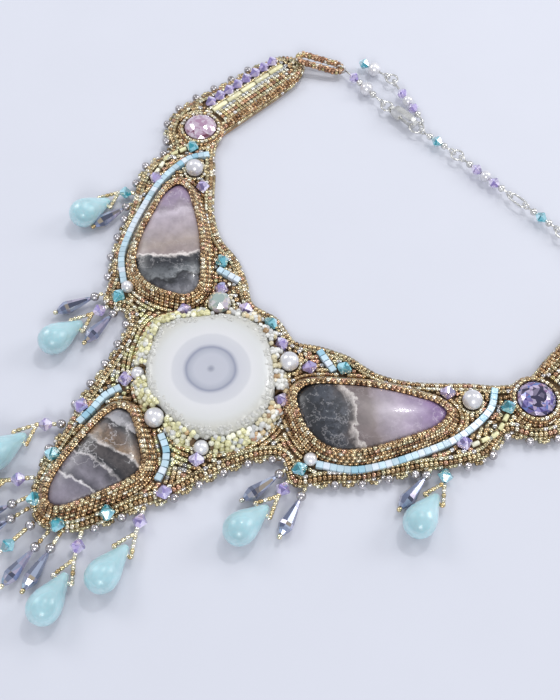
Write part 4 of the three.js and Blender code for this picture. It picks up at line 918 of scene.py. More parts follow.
class NECKLACE_OT_stones(bpy.types.Operator):
    """Add the agate cabochons and the quartz slice"""

    bl_idname = "necklace.stones"
    bl_label = "Stones"

    def execute(self, context):
        kinds = (("right", RIGHT_BANDS, RIGHT_MOTTLES, ARM_CRACKS, ARM_TURN),
                 ("left", LEFT_BANDS, LEFT_MOTTLES, ARM_CRACKS, 180 - ARM_TURN),
                 ("pendant", PENDANT_BANDS, PENDANT_MOTTLES, PENDANT_CRACKS, -90))
        for name, bands, mottled, veined, turn in kinds:
            node = f"cabochon_{name}"
            points = node_points(node)
            outline = rounded(hull(points[:, :2]), 160)
            middle = points[points[:, 2].argmax()][:2]
            material = use(node, lambda: agate_finish(f"agate {name}", bands, mottled, veined))
            piece = dome(f"polished_agate_{name}", outline, middle, CABOCHON_ROWS, material, turn, node)
        stone = STONES["slice"]
        rng = np.random.default_rng(4)

        def roughen(points):
            reach = np.linalg.norm(points[:, :2] - stone.middle, axis=1)
            rough = np.clip((reach / reach.max() - 0.80) / 0.12, 0, 1) * (points[:, 2] > 2.5)
            shake = rng.uniform(-1, 1, points.shape) * np.array([0.34, 0.34, 0.32]) - np.array([0, 0, 0.12])
            return points + shake * rough[:, None]

        outline = rounded(hull(node_points("quartz_slice")[:, :2]), 260)
        piece = dome("rough_quartz_slice", outline * 0.992, stone.middle, SLICE_ROWS,
                     use("quartz", quartz_finish), 0, "quartz_slice", roughen)
        self.druse(outline, stone.middle, rng)
        return {"FINISHED"}

    def druse(self, outline, middle, rng):
        """The small quartz points that stand round the slice's rim"""
        points, faces = [], []
        for _ in range(300):
            at = outline[rng.integers(len(outline))]
            share = rng.uniform(0.86, 1.0)
            foot = np.array([*(middle + (at - middle) * share), 6.9 - 1.6 * max(0, share - 0.93) / 0.07])
            away = np.array([*(at - middle), 0.0]) / np.linalg.norm(at - middle)
            way = away * rng.uniform(-0.1, 0.9) + np.array([0, 0, 1.0]) + rng.uniform(-0.45, 0.45, 3)
            way /= np.linalg.norm(way)
            side = np.cross(way, [0.31, 0.47, 0.2])
            side /= np.linalg.norm(side)
            other = np.cross(way, side)
            radius, tall = rng.uniform(0.45, 0.9), rng.uniform(0.35, 0.8)
            start = len(points)
            for lift, wide in ((-0.5, 1.0), (tall * 0.45, 0.95)):
                for across, up in round_section(6):
                    points.append(foot + way * lift + (side * across + other * up) * radius * wide)
            points.append(foot + way * tall)
            for k in range(6):
                j = (k + 1) % 6
                faces.append((start + k, start + j, start + 6 + j, start + 6 + k))
                faces.append((start + 6 + k, start + 6 + j, start + 12))
            faces.append(tuple(start + k for k in reversed(range(6))))
        points = np.array(points)
        points[:, 2] = np.minimum(points[:, 2], 7.75)
        marks = {"reach": np.full(len(points), 0.8)}
        piece = put("quartz_points", points, faces, use("quartz", quartz_finish), smooth=False,
                    attributes=marks)


def facets(name, middle, low, rows, sides, material, twist=0.5):
    """A cut crystal standing upright: each row is a height, a radius and a share of a side to turn by"""
    points = [(middle[0], middle[1], low + rows[0][0])]
    for row, (height, radius) in enumerate(rows):
        for i in range(sides):
            spot = middle + polar(radius, 360 * (i + twist * (row % 2)) / sides)
            points.append((*spot, low + height))
    points.append((middle[0], middle[1], low + rows[-1][0]))
    faces = []
    for i in range(sides):
        j = (i + 1) % sides
        faces.append((0, 1 + j, 1 + i))
        for step in range(len(rows) - 1):
            a, b = 1 + step * sides, 1 + (step + 1) * sides
            if step % 2 == 0:
                faces += [(a + i, a + j, b + i), (b + i, a + j, b + j)]
            else:
                faces += [(a + i, b + j, b + i), (a + i, a + j, b + j)]
        top = 1 + (len(rows) - 1) * sides
        faces.append((top + i, top + j, len(points) - 1))
    return put(name, points, faces, material, smooth=False)


# Tones of the cut crystals by the way that a facet faces, their own glass and coat colours mixed with painted
# facet shade and painted highlights, and their rows of facets: height and radius
CRYSTAL_HUES_AND_PAINTED_LIGHT = {
    1: ((0.36, "1d1830"), (0.45, "5a4f9a"), (0.52, "a79ad6"), (0.57, "3f78c2"), (0.62, "8a5f8f"),
        (0.68, "d8c9e6"), (0.76, "2a2348")),
    -1: ((0.36, "7a3f52"), (0.44, "c9a3bc"), (0.50, "ead9e6"), (0.56, "cfa9c4"), (0.62, "f2eaf0"),
         (0.68, "b992ae"), (0.76, "d9c6d6")),
}
FIRE_HUES_AND_PAINTED_LIGHT = ((0.38, "8f8c86"), (0.46, "d5d8cf"), (0.52, "f4f2ee"), (0.58, "c9b9d2"), (0.64, "efe6d2"),
              (0.72, "a9bcb6"))
CRYSTAL_ROWS = ((0.1, 3.0), (2.5, 5.6), (3.1, 5.72), (4.0, 4.9), (4.75, 3.7), (5.15, 2.5))
FIRE_ROWS = ((0.0, 1.9), (1.3, 3.3), (3.0, 3.8), (4.7, 3.3), (6.0, 1.9))


class NECKLACE_OT_crystals(bpy.types.Operator):
    """Add the faceted crystals at the strap roots, their beaded settings and the fire-polished bead"""

    bl_idname = "necklace.crystals"
    bl_label = "Crystals"

    def execute(self, context):
        rng = np.random.default_rng(7)
        for side, name in SIDES:
            glass = use(f"crystal {name}", lambda: rainbow_finish(f"cut crystal {name}", CRYSTAL_HUES_AND_PAINTED_LIGHT[side]))
            piece = facets(f"cut_crystal_{name}", CRYSTAL_MIDDLES[side], 1.6, CRYSTAL_ROWS, 14, glass)
            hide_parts(f"crystal_{name}")
            carried(f"crystal_bezel_{name}", use("cloth", cloth_finish))
            places, headings, shades, widths = [], [], [], []
            for radius, height, mix, width in ((7.8, 2.5, GOLD_MIX, 1.5), (7.2, 3.4, BRONZE_MIX, 1.4),
                                               (6.55, 4.3, PALE_GOLD_MIX, 1.35)):
                count = int(2 * math.pi * radius / (width * 1.04))
                for i in range(count):
                    angle = 360 * (i + 0.5 * (radius > 7)) / count
                    places.append([*(CRYSTAL_MIDDLES[side] + polar(radius, angle)), height])
                    headings.append([*polar(1, angle + 90), 0])
                    widths.append(width)
                shades.append(bead_colours(mix, count, rng))
            beads(f"crystal_setting_{name}", "seed", places, headings, np.array(widths), widths,
                  np.vstack(shades), metal_beads())
        low = float(node_points("fire_bead")[:, 2].min())
        glass = use("fire bead", lambda: rainbow_finish("clear fire bead", FIRE_HUES_AND_PAINTED_LIGHT))
        piece = facets("fire_polished_bead", middle_of("fire_bead")[:2], low, FIRE_ROWS, 10, glass)
        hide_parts("fire_bead")
        return {"FINISHED"}


# Beadwork

SETTINGS = (("slice", 1, SURROUND_FOOT), ("arm", 1, BEZEL_FOOT), ("arm", -1, BEZEL_FOOT),
            ("pendant", 1, BEZEL_FOOT))
EDGE_ROOM = 2.9


def shape_of(name, side):
    outline = STONES[name].outline * np.array([side, 1])
    return outline[::-1] if side < 0 else outline


def reserved_spots():
    """Where the carpet leaves room: places and how far seed beads keep off them"""
    spots = [(spot, 2.45 if kind != "pearl" else 2.5) for kind, spot, _ in accents()]
    for node in PEARLS:
        spots.append((middle_of(node)[:2], width_of(node) / 2 + 1.15))
    spots.append((middle_of("fire_bead")[:2], 5.2))
    for path in cube_paths():
        spots += [(spot, 1.75) for spot in path]
    for path in cream_arcs():
        spots += [(spot, 1.6) for spot in evenly(path, 12, closed=False)]
    for side in (1, -1):
        for out, room in ((BICONE_OUT, 2.45), (CREAM_OUT, 1.7), (CREAM_OUT - 2.4, 1.6), (1.0, 1.3),
                          (-0.6, 1.4), (GOLD_OUT, 1.7), (ROLL_OUT, 1.9)):
            for along in np.arange(ROW_START + 0.4 * room, ROW_END - 0.4 * room, 0.7):
                spots.append((on_strap(out, along, side), room))
        spots.append((CRYSTAL_MIDDLES[side], 8.65))
    return spots


def carpet_places(rng):
    """Seed beads in rows that follow the stones' settings, then single beads where room is left"""
    pitch, row = sizes().seed_pitch / MM, sizes().row_pitch / MM
    outlines = [(shape_of(name, side), foot) for name, side, foot in SETTINGS]
    for side in (1, -1):
        circle = np.array([CRYSTAL_MIDDLES[side] + polar(5.75, a) for a in range(0, 360, 3)])
        outlines.append((circle, 2.3))
    reserved = reserved_spots()
    spots = np.array([spot for spot, _ in reserved])
    rooms = np.array([room for _, room in reserved])

    def allowed(points):
        keep = inside(points, COLLAR) & (distance_to(points, COLLAR) > EDGE_ROOM)
        for start in range(0, len(points), 2000):
            block = points[start:start + 2000]
            away = np.linalg.norm(block[:, None] - spots[None], axis=2)
            keep[start:start + 2000] &= (away > rooms[None] - 0.1).all(1)
        for outline, foot in outlines:
            keep &= ~inside(points, outline) & (distance_to(points, outline) > foot + 0.62)
        return keep

    taken = np.empty((0, 2))
    headings = np.empty((0, 2))
    rings = []
    for number in range(14):
        for own, (outline, foot) in enumerate(outlines):
            if own > 3 and number > 2:
                continue
            path = grown(outline, foot + 0.85 + number * row)
            path = evenly(path, max(8, int(length_of(path) / pitch)))
            if number % 2:
                path = (path + np.roll(path, -1, 0)) / 2
            near = distance_to(path, outline) - foot
            keep = allowed(path) & (near > 0.7 + (number - 0.25) * row)
            for other, (shape, other_foot) in enumerate(outlines):
                if other != own:
                    keep &= distance_to(path, shape) - other_foot > near - 0.2
            rings.append((path[keep], tangents(path)[keep]))
    for places, ways in rings:
        for place, way in zip(places, ways):
            if len(taken) and (np.abs(taken - place).sum(1) < 3).any():
                if (np.linalg.norm(taken - place, axis=1) < 1.12).any():
                    continue
            taken = np.vstack([taken, place])
            headings = np.vstack([headings, way])
    low, high = COLLAR.min(0), COLLAR.max(0)
    columns, lines = (np.arange(low[k], high[k], 0.45) for k in (0, 1))
    grid = np.stack(np.meshgrid(columns, lines), -1).reshape(-1, 2)
    grid = grid[inside(grid, COLLAR)]
    grid = grid[allowed(grid)]
    rng.shuffle(grid)
    grid = grid[distance_to(grid, taken) > 1.22]
    for place in grid:
        if (np.linalg.norm(taken - place, axis=1) < 1.22).any():
            continue
        taken = np.vstack([taken, place])
        headings = np.vstack([headings, polar(1, rng.uniform(0, 360))])
    return taken, headings


class NECKLACE_OT_carpet(bpy.types.Operator):
    """Add the leather, the cloth and the seed beads that cover it, with the accents sewn among them"""

    bl_idname = "necklace.carpet"
    bl_label = "Bead carpet"

    def execute(self, context):
        rng = np.random.default_rng(11)
        carried("backing", use("leather", leather_finish))
        outline = evenly(grown(COLLAR, -0.3), 600)
        bed = sizes().bed / MM
        count = len(outline)
        points = np.vstack([above(outline, 1.0), above(outline, bed)])
        faces = [(i, (i + 1) % count, count + (i + 1) % count, count + i) for i in range(count)]
        faces += [tuple(range(count - 1, -1, -1)), tuple(range(count, 2 * count))]
        cloth = put("beading_cloth", points, faces, use("cloth", cloth_finish), smooth=False)
        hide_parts("bead_carpet")
        places, headings = carpet_places(rng)
        shades = bead_colours(GOLD_MIX, len(places), rng)
        pale = bead_colours(CREAM_MIX, len(places), rng)
        chalk = bead_colours(SILVER_MIX, len(places), rng)
        away = np.linalg.norm(places - STONES["slice"].middle, axis=1)
        bearing = np.degrees(np.arctan2(*(places - STONES["slice"].middle).T[::-1])) % 360
        creamy = (away < 34) & (bearing > 135) & (bearing < 330) & (rng.random(len(places)) < 0.45)
        greyish = rng.random(len(places)) < 0.07
        shades[creamy] = pale[creamy]
        shades[greyish] = chalk[greyish]
        size = sizes().seed / MM * rng.uniform(0.9, 1.08, len(places))
        heights = bed + 0.55 + rng.uniform(-0.06, 0.16, len(places))
        piece = beads("carpet_seed_beads", "seed", np.column_stack([places, heights]), level(headings),
                      size, size, shades, metal_beads())
        self.accents()
        self.pearl_collars(rng)
        return {"FINISHED"}

    def pearl_collars(self, rng):
        places, headings = [], []
        settings = [(shape_of(name, side), foot) for name, side, foot in SETTINGS[1:]]
        rounds = [(middle_of(node)[:2], width_of(node) / 2) for node in PEARLS]
        rounds.append((middle_of("fire_bead")[:2], 3.8))
        for middle, radius in rounds:
            reach = radius + 0.62
            count = int(2 * math.pi * reach / 1.3)
            for i in range(count):
                spot = middle + polar(reach, 360 * i / count)
                here = spot[None]
                clear = all(distance_to(here, shape)[0] > foot + 0.2 and not inside(here, shape)[0]
                            for shape, foot in settings)
                if clear and inside(here, COLLAR)[0]:
                    places.append([*spot, 3.35])
                    headings.append([*polar(1, 360 * i / count + 90), 0])
        shades = bead_colours(PALE_GOLD_MIX, len(places), rng)
        beads("pearl_collars", "seed", places, headings, 1.3, 1.35, shades, metal_beads())

    def accents(self):
        bicone = sizes().bicone / MM
        for kind in ("teal", "violet"):
            found = [(spot, turn) for name, spot, turn in accents() if name == kind]
            places = above([spot for spot, _ in found], 3.85)
            headings = level([polar(1, turn) for _, turn in found])
            piece = beads(f"{kind}_bicones", "bicone", places, headings, bicone, bicone * 1.02, (1, 1, 1),
                          crystal(kind))
        small = [spot for name, spot, _ in accents() if name == "pearl"]
        beads("small_pearls", "round", above(small, 4.3), (1, 0, 0), 4.0, 4.0, (1, 1, 1), pearl())
        places, headings = [], []
        for path in cube_paths():
            places += above(path, 3.35).tolist()
            headings += level(tangents(path, False)).tolist()
        rng = np.random.default_rng(5)
        tone = np.array(tuple(colours().cube))
        shades = tone * rng.uniform(0.82, 1.12, (len(places), 1))
        white = rng.random(len(places)) < 0.35
        shades[white] = np.array([0.66, 0.74, 0.82])
        shades[rng.random(len(places)) < 0.1] = np.array([0.30, 0.52, 0.64])
        arcs = [(above(path, 3.2), level(tangents(path, False))) for path in cream_arcs()]
        on_arcs, along_arcs = (np.vstack(rows) for rows in zip(*arcs))
        beads("cream_arc_bugles", "cylinder", on_arcs, along_arcs, 2.5, 1.5,
              bead_colours(CREAM_MIX, len(on_arcs), rng), glass_beads())
        piece = beads("cube_beads", "cube", places, headings, 2.0, 2.05, shades, glass_beads())


def courses(name, outline, levels, rng):
    """Brick-stitched cylinder beads round a setting: each level is a distance out, a height and a palette"""
    pitch, width = sizes().cylinder_pitch / MM, sizes().cylinder / MM
    places, headings, ups, shades = [], [], [], []
    for number, (out, height, mix) in enumerate(levels):
        path = grown(outline, out)
        count = int(length_of(path) / pitch)
        path = evenly(path, count)
        if number % 2:
            path = (path + np.roll(path, -1, 0)) / 2
        places.append(above(path, height))
        headings.append(level(tangents(path)))
        lean = level(outward(path)) * 0.87 + np.array([0, 0, 0.49])
        ups.append(lean)
        shades.append(bead_colours(mix, count, rng))
    return beads(name, "seed", np.vstack(places), np.vstack(headings), pitch * 0.97, width, np.vstack(shades),
                 metal_beads(), np.vstack(ups))


class NECKLACE_OT_settings(bpy.types.Operator):
    """Add the peyote-stitched settings of the cabochons"""

    bl_idname = "necklace.settings"
    bl_label = "Settings"

    def execute(self, context):
        for number, (label, stone, side) in enumerate((("right", "arm", 1), ("left", "arm", -1),
                                                       ("pendant", "pendant", 1))):
            rng = np.random.default_rng(20 + number)
            outline = shape_of(stone, side)
            levels = []
            for k in range(5):
                share = 0.10 + 0.195 * k
                out = 3.0 * (1 - share) + 0.22
                height = 1.6 + 5.4 * share + 0.12
                levels.append((out, height, BRONZE_MIX if k % 2 else GOLD_MIX))
            levels.append((-0.42, 6.55, BRONZE_MIX))
            piece = courses(f"setting_beads_{label}", outline, levels, rng)
            path = evenly(grown(outline, -0.02), int(length_of(grown(outline, -0.02)) / 1.5))
            shades = bead_colours(GOLD_MIX, len(path), rng)
            piece = beads(f"setting_rim_{label}", "seed", above(path, 7.1), level(tangents(path)), 1.3, 1.45,
                          shades, metal_beads())
            carried(f"bezel_{label}", use("cloth", cloth_finish))
        return {"FINISHED"}


class NECKLACE_OT_surround(bpy.types.Operator):
    """Add the clusters of cream and gold beads round the quartz slice"""

    bl_idname = "necklace.surround"
    bl_label = "Slice surround"

    def execute(self, context):
        rng = np.random.default_rng(31)
        carried("slice_surround", use("cloth", cloth_finish))
        outline = STONES["slice"].outline
        blocked = [(middle_of(node)[:2], width_of(node) / 2 + 0.9) for node in PEARLS if "slice" in node]
        blocked += [(spot, 2.9) for _, spot, _ in accents()]
        blocked.append((middle_of("fire_bead")[:2], 4.6))
        places, shades, size = [], [], []
        for out, height, width in ((3.3, 2.9, 1.6), (2.75, 4.0, 1.7), (2.0, 4.9, 1.75), (1.1, 5.45, 1.75),
                                   (0.3, 6.0, 1.6), (0.05, 6.9, 1.4)):
            path = evenly(grown(outline, out), int(length_of(grown(outline, out)) / (width * 0.98)))
            for spot in path:
                if any(np.linalg.norm(spot - place) < room for place, room in blocked):
                    continue
                bearing = math.degrees(math.atan2(*(spot - STONES["slice"].middle)[::-1])) % 360
                cream = 140 < bearing < 345
                if out < 0.3 and (not cream or rng.random() < 0.6):
                    continue
                if cream and rng.random() < 0.84:
                    mix = CREAM_MIX
                else:
                    mix = GOLD_MIX if rng.random() < 0.2 else FROST_MIX
                wide = width * rng.uniform(0.85, 1.25)
                places.append([*(spot + rng.uniform(-0.3, 0.3, 2)), height + rng.uniform(-0.2, 0.45)])
                shades.append(bead_colours(mix, 1, rng)[0])
                size.append(wide)
        turns = rng.uniform(0, 360, len(places))
        headings = np.column_stack([np.cos(np.radians(turns)), np.sin(np.radians(turns)),
                                    rng.uniform(-0.5, 0.5, len(places))])
        piece = beads("surround_beads", "seed", places, headings, np.array(size) * 0.9, size, shades,
                      glass_beads())
        return {"FINISHED"}


class NECKLACE_OT_edges(bpy.types.Operator):
    """Add the beads that bind the collar's edges, with picots and silver beads on the outer one"""

    bl_idname = "necklace.edges"
    bl_label = "Edges"

    def execute(self, context):
        rng = np.random.default_rng(41)
        places, headings, shades, size = [], [], [], []

        def lay(path, out, height, pitch, width, mix, closed=False, turn=0):
            moved = path + outward(path, closed) * out
            moved = evenly(moved, int(length_of(moved, closed) / pitch), closed)
            ways = tangents(moved, closed)
            if turn:
                ways = outward(moved, closed)
            places.append(above(moved, height))
            headings.append(level(ways))
            shades.append(bead_colours(mix, len(moved), rng))
            size.append(np.full(len(moved), width))

        lay(COLLAR, 0.1, 1.75, 1.42, 1.5, EDGE_MIX, True)
        lay(COLLAR, -0.75, 2.75, 1.42, 1.5, GOLD_MIX, True, 1)
        lay(COLLAR, -2.05, 3.05, 1.42, 1.5, EDGE_MIX, True)
        piece = beads("edge_beads", "seed", np.vstack(places), np.vstack(headings), np.concatenate(size),
                      np.concatenate(size), np.vstack(shades), metal_beads())
        self.picots(rng)
        return {"FINISHED"}

    def picots(self, rng):
        outer, _ = edge_parts()
        path = evenly(outer, int(length_of(outer, False) / 3.85), False)
        ways = outward(path, False)
        held = fringe_starts()
        silver_places, gold_places, gold_ways = [], [], []
        for i, (spot, way) in enumerate(zip(path, ways)):
            place = spot + way * 1.35
            if held.size and np.linalg.norm(held - place, axis=1).min() < 2.9:
                continue
            if i % 2:
                silver_places.append([*place, 2.1])
            else:
                for step in (-1, 0, 1):
                    side = np.array([-way[1], way[0]]) * step * 1.15
                    gold_places.append([*(spot + way * (1.45 - 0.35 * abs(step)) + side), 1.7])
                    gold_ways.append([-way[1], way[0], 0.0])
        round_size = sizes().silver_round / MM
        piece = beads("edge_silver_rounds", "round", silver_places, (0, 0, 1.0), round_size, round_size,
                      (1, 1, 1), steel())
        shades = bead_colours(EDGE_MIX, len(gold_places), rng)
        beads("edge_picots", "seed", gold_places, gold_ways, 1.3, 1.35, shades, metal_beads())


class NECKLACE_OT_straps(bpy.types.Operator):
    """Add the rows of beads along the straps and the beaded roll at their inner edge"""

    bl_idname = "necklace.straps"
    bl_label = "Straps"

    def execute(self, context):
        rng = np.random.default_rng(51)
        for side, name in SIDES:
            way = level(STRAP_ALONG * np.array([side, 1]))[0]

            def row(out, count, height):
                steps = ROW_START + (np.arange(count) + 0.5) * (ROW_END - ROW_START) / count
                return above([on_strap(out, step, side) for step in steps], height)

            length = ROW_END - ROW_START
            piece = beads(f"strap_bicones_{name}", "bicone", row(BICONE_OUT, 8, 3.62), way, 4.1, 4.1,
                          (1, 1, 1), crystal("violet"))
            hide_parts(f"bicone_row_{name}")
            steps = ROW_START + np.arange(1, 8) * length / 8
            spacers = above([on_strap(BICONE_OUT, step, side) for step in steps], 3.3)
            beads(f"strap_spacers_{name}", "seed", spacers, way, 0.5, 1.4, bead_colours(GOLD_MIX, 7, rng),
                  metal_beads())
            piece = beads(f"strap_cream_bugles_{name}", "cylinder", row(CREAM_OUT, 5, 2.75), way, 6.5, 2.2,
                          bead_colours(BUGLE_MIX, 5, rng), glass_beads())
            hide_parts(f"bugle_row_{name}")
            places, widths, shades, lengths = [], [], [], []
            for out, size, mix, height, long in ((CREAM_OUT + 1.65, 1.25, PALE_GOLD_MIX, 3.0, 1.2),
                                                 (CREAM_OUT - 1.85, 1.6, FROST_MIX, 3.2, 1.45),
                                                 (CREAM_OUT - 3.3, 1.6, PALE_GOLD_MIX, 3.35, 1.45),
                                                 (-0.65, 1.6, COPPER_MIX, 3.35, 1.45),
                                                 (-2.1, 1.6, EDGE_MIX, 3.2, 1.45)):
                count = int(length / (long * 1.03))
                places.append(row(out, count, height))
                widths.append(np.full(count, size))
                lengths.append(np.full(count, long))
                shades.append(bead_colours(mix, count, rng))
            beads(f"strap_rows_{name}", "seed", np.vstack(places), way, np.concatenate(lengths),
                  np.concatenate(widths), np.vstack(shades), metal_beads())
            self.roll(side, name, rng)
        return {"FINISHED"}

    def roll(self, side, name, rng):
        places, headings, ups = [], [], []
        start, end = on_strap(ROLL_OUT, ROW_START, side), on_strap(ROLL_OUT, ROW_END, side)
        way = level(STRAP_ALONG * np.array([side, 1]))[0]
        out = level(STRAP_OUT * np.array([side, 1]))[0]
        count = int((ROW_END - ROW_START) / 1.3)
        for step in range(count):
            middle = np.array([*(start + (end - start) * (step + 0.5) / count), 2.85])
            for around in range(8):
                angle = 2 * math.pi * (around + 0.5 * (step % 2)) / 8
                normal = out * math.cos(angle) + np.array([0, 0, 1.0]) * math.sin(angle)
                places.append(middle + normal * 0.95)
                headings.append(np.cross(normal, way))
                ups.append(normal)
        shades = bead_colours(BRONZE_MIX, len(places), rng)
        piece = beads(f"strap_roll_beads_{name}", "seed", places, headings, 0.9, 1.2, shades,
                      metal_beads(), ups)
        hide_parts(f"strap_roll_{name}")


class NECKLACE_OT_pearls(bpy.types.Operator):
    """Add the silver pearls that sit in the beadwork"""

    bl_idname = "necklace.pearls"
    bl_label = "Pearls"

    def execute(self, context):
        for node in PEARLS:
            place = middle_of(node)
            size = float(np.ptp(node_points(node)[:, 2]))
            piece = turned(f"round_{node}", [(0.5 - 0.5 * math.cos(a), size / 2 * math.sin(a))
                                             for a in np.linspace(0.12, math.pi - 0.12, 15)],
                           place - np.array([size / 2, 0, 0]), place + np.array([size / 2, 0, 0]), pearl())
            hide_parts(node)
        return {"FINISHED"}


# Fringe: the strands of the right half. Each leaves the edge nearest to its place beside a stone.

FRINGE = {
    "arm_outer": [("drop", "arm", -19, 7.4, -70, 10.6, -79, -92),
                  ("crystal", "arm", -29, 5.8, -84, 3.4, 0, 0)],
    "arm_inner": [("crystal", "arm", -146, 8.0, -72, 4.4, 0, 0),
                  ("drop", "arm", -153, 10.2, -84, 11.6, -90, -92),
                  ("crystal", "arm", -159, 9.8, -98, 3.4, 0, 0)],
    "pendant": [("drop", "pendant", 106, 3.2, -66, 14.0, -76, -92),
                ("drop", "pendant", 24, 2.4, -60, 14.4, -68, -70),
                ("crystal", "pendant", 13, 1.9, -72, 6.4, 0, 0),
                ("crystal", "pendant", 6.5, 1.9, -80, 7.2, 0, 0)],
}
POINT_FRINGE = [("drop", "pendant", 0, 1.6, -89, 20.6, -90, -90)]
STRAND_HEIGHT, HOLE_HEIGHT, PITCH_UP = 2.3, 2.57, 16
DROP_ROWS = ((0.0, 0.04), (0.02, 0.2), (0.1, 0.33), (0.2, 0.46), (0.32, 0.63), (0.43, 0.79), (0.53, 0.91),
             (0.62, 0.98), (0.71, 1.0), (0.79, 0.955), (0.86, 0.85), (0.92, 0.7), (0.965, 0.49), (0.99, 0.26),
             (1.0, 0.04))


def edge_start(stone, bearing, margin):
    wanted = STONES[stone].spot(bearing, margin)
    at = int(np.linalg.norm(COLLAR - wanted, axis=1).argmin())
    return COLLAR[at] + outward(COLLAR)[at] * 0.9


def fringe_starts():
    starts = []
    for rows in FRINGE.values():
        for _, stone, bearing, margin, *_ in rows:
            spot = edge_start(stone, bearing, margin)
            starts += [spot, spot * np.array([-1, 1])]
    starts.append(edge_start("pendant", 0, 1.6))
    return np.array(starts)


class NECKLACE_OT_fringe(bpy.types.Operator):
    """Add the fringe: strands of seed beads with crystals, and the glass drops at their ends"""

    bl_idname = "necklace.fringe"
    bl_label = "Fringe"

    def execute(self, context):
        rng = np.random.default_rng(61)
        for side, side_name in SIDES:
            for group, rows in FRINGE.items():
                self.group(f"{group}_{side_name}", f"fringe_{group}_{side_name}", rows, side, rng)
        self.group("point", "fringe_point", POINT_FRINGE, 1, rng)
        return {"FINISHED"}

    def group(self, name, node, rows, side, rng):
        gold, silver_rounds, violet_beads = [], [], []
        for number, (kind, stone, bearing, margin, heading, strand, turn, turn_left) in enumerate(rows, 1):
            start = np.array([*edge_start(stone, bearing, margin), STRAND_HEIGHT])
            if kind == "crystal":
                self.crystal(name, number, start, heading, strand, side, gold, silver_rounds)
                continue
            hole = np.array([*(start[:2] + polar(strand, heading)), HOLE_HEIGHT])
            turn = turn if side > 0 else turn_left
            ahead = np.array([*polar(1, turn), 0.0])
            fork = hole - ahead * 6.4
            fork[2] = STRAND_HEIGHT
            self.strand(start, fork, hole, ahead, gold, silver_rounds, violet_beads)
            self.drop(f"drop_{name}_{number}", hole, turn, side)
        shift = np.array([side, 1, 1])
        places = np.array([place for place, _, _ in gold]) * shift
        ways = np.array([way for _, way, _ in gold]) * shift
        widths = np.array([width for _, _, width in gold])
        piece = beads(f"strands_{name}", "seed", places, ways, widths, widths,
                      bead_colours(PALE_GOLD_MIX, len(gold), rng), metal_beads())
        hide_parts(node)
        if silver_rounds:
            beads(f"strand_silver_{name}", "round", np.array([p for p, _ in silver_rounds]) * shift,
                  np.array([w for _, w in silver_rounds]) * shift, 2.9, 2.9, (1, 1, 1), steel())
        if violet_beads:
            kind = "teal" if name.startswith(("arm_outer", "point")) else "violet"
            beads(f"strand_bicones_{name}", "bicone", np.array([p for p, _ in violet_beads]) * shift,
                  np.array([w for _, w in violet_beads]) * shift, 4.0, sizes().bicone / MM, (1, 1, 1),
                  crystal(kind))

    def strand(self, start, fork, hole, ahead, gold, silver_rounds, bicones):
        run = fork - start
        length = float(np.linalg.norm(run))
        way = run / length
        lead = 3.0 if length > 8.7 else 0.0
        bicone_at = lead + (length - lead - 4.0) * 0.6 + 2.0
        if lead:
            silver_rounds.append((start + way * 1.5, way))
        bicones.append((start + way * bicone_at, way))
        for low, high in ((lead, bicone_at - 2.0), (bicone_at + 2.0, length + 0.3)):
            count = int(round((high - low) / 1.2))
            for i in range(count):
                gold.append((start + way * (low + (i + 0.5) * (high - low) / count), way, 1.5))
        across = np.array([-ahead[1], ahead[0], 0.0]) * 3.1
        for end in (hole + across, hole - across):
            branch = end - fork
            reach = float(np.linalg.norm(branch))
            count = int(reach / 1.22)
            for i in range(count):
                gold.append((fork + branch * (i + 0.85) / (count + 0.2), branch / reach, 1.4))
            inward = (hole - end) / 3.1
            gold.append((end + inward * 0.4, inward, 1.3))
            gold.append((end + inward * 1.5, inward, 1.15))

    def crystal(self, name, number, start, heading, strand, side, gold, silver_rounds):
        way = np.array([*polar(1, heading), 0.0])
        shift = np.array([side, 1, 1])
        silver_rounds.append((start + way * (strand - 1.45), way))
        count = max(1, int(round((strand - 2.9) / 1.3)))
        for i in range(count):
            gold.append((start + way * (strand - 2.9) * (i + 0.5) / count, way, 1.4))
        top, end = (start + way * strand) * shift, (start + way * (strand + 11)) * shift
        rows = ((0.0, 0.55), (0.1, 0.9), (0.35, 1.45), (0.66, 2.12), (0.76, 2.18), (0.9, 1.5), (1.0, 0.8))
        piece = turned(f"faceted_drop_{name}_{number}", rows, top, end,
                       use("smoky", smoky_finish), 8, smooth=False)
        gold.append((start + way * (strand + 11.75), way, 1.5))

    def drop(self, node, hole, turn, side):
        up = math.radians(PITCH_UP)
        ahead = polar(math.cos(up), turn)
        way = np.array([ahead[0], ahead[1], math.sin(up)])
        shift = np.array([side, 1, 1])
        start, end = (hole - way * 2.4) * shift, (hole + way * 13.6) * shift
        rows = [(share, radius * 4.72) for share, radius in DROP_ROWS]
        piece = turned(f"glass_{node}", rows, start, end, use("aqua", aqua_finish), 36)
        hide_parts(node)


def smoky_finish():
    """Blue-grey glass with a metallic coat, with painted shade on some facets and painted gold or pink
    reflections on others
    """
    def build(link, shader, add):
        # The darkest stops are painted facet shade, the palest and the gold and pink ones painted
        # reflections; the blue-grey is the glass's own
        stops = ((0.34, "3c425a"), (0.42, "7c88a8"), (0.47, "b4bfd6"), (0.51, "5c6482"), (0.56, "bfb6cc"),
                 (0.61, "8c9dc6"), (0.67, "c0b096"), (0.75, "454b62"))
        link(painted_facet_light(link, add, stops, 2.8, 240.0, 0.1), shader.inputs["Base Color"])
    return finish("smoky crystal", build, 0.1, 0.35, transmission_weight=0.2, coat_weight=1.0)


# Chain: places in millimetres, rings first

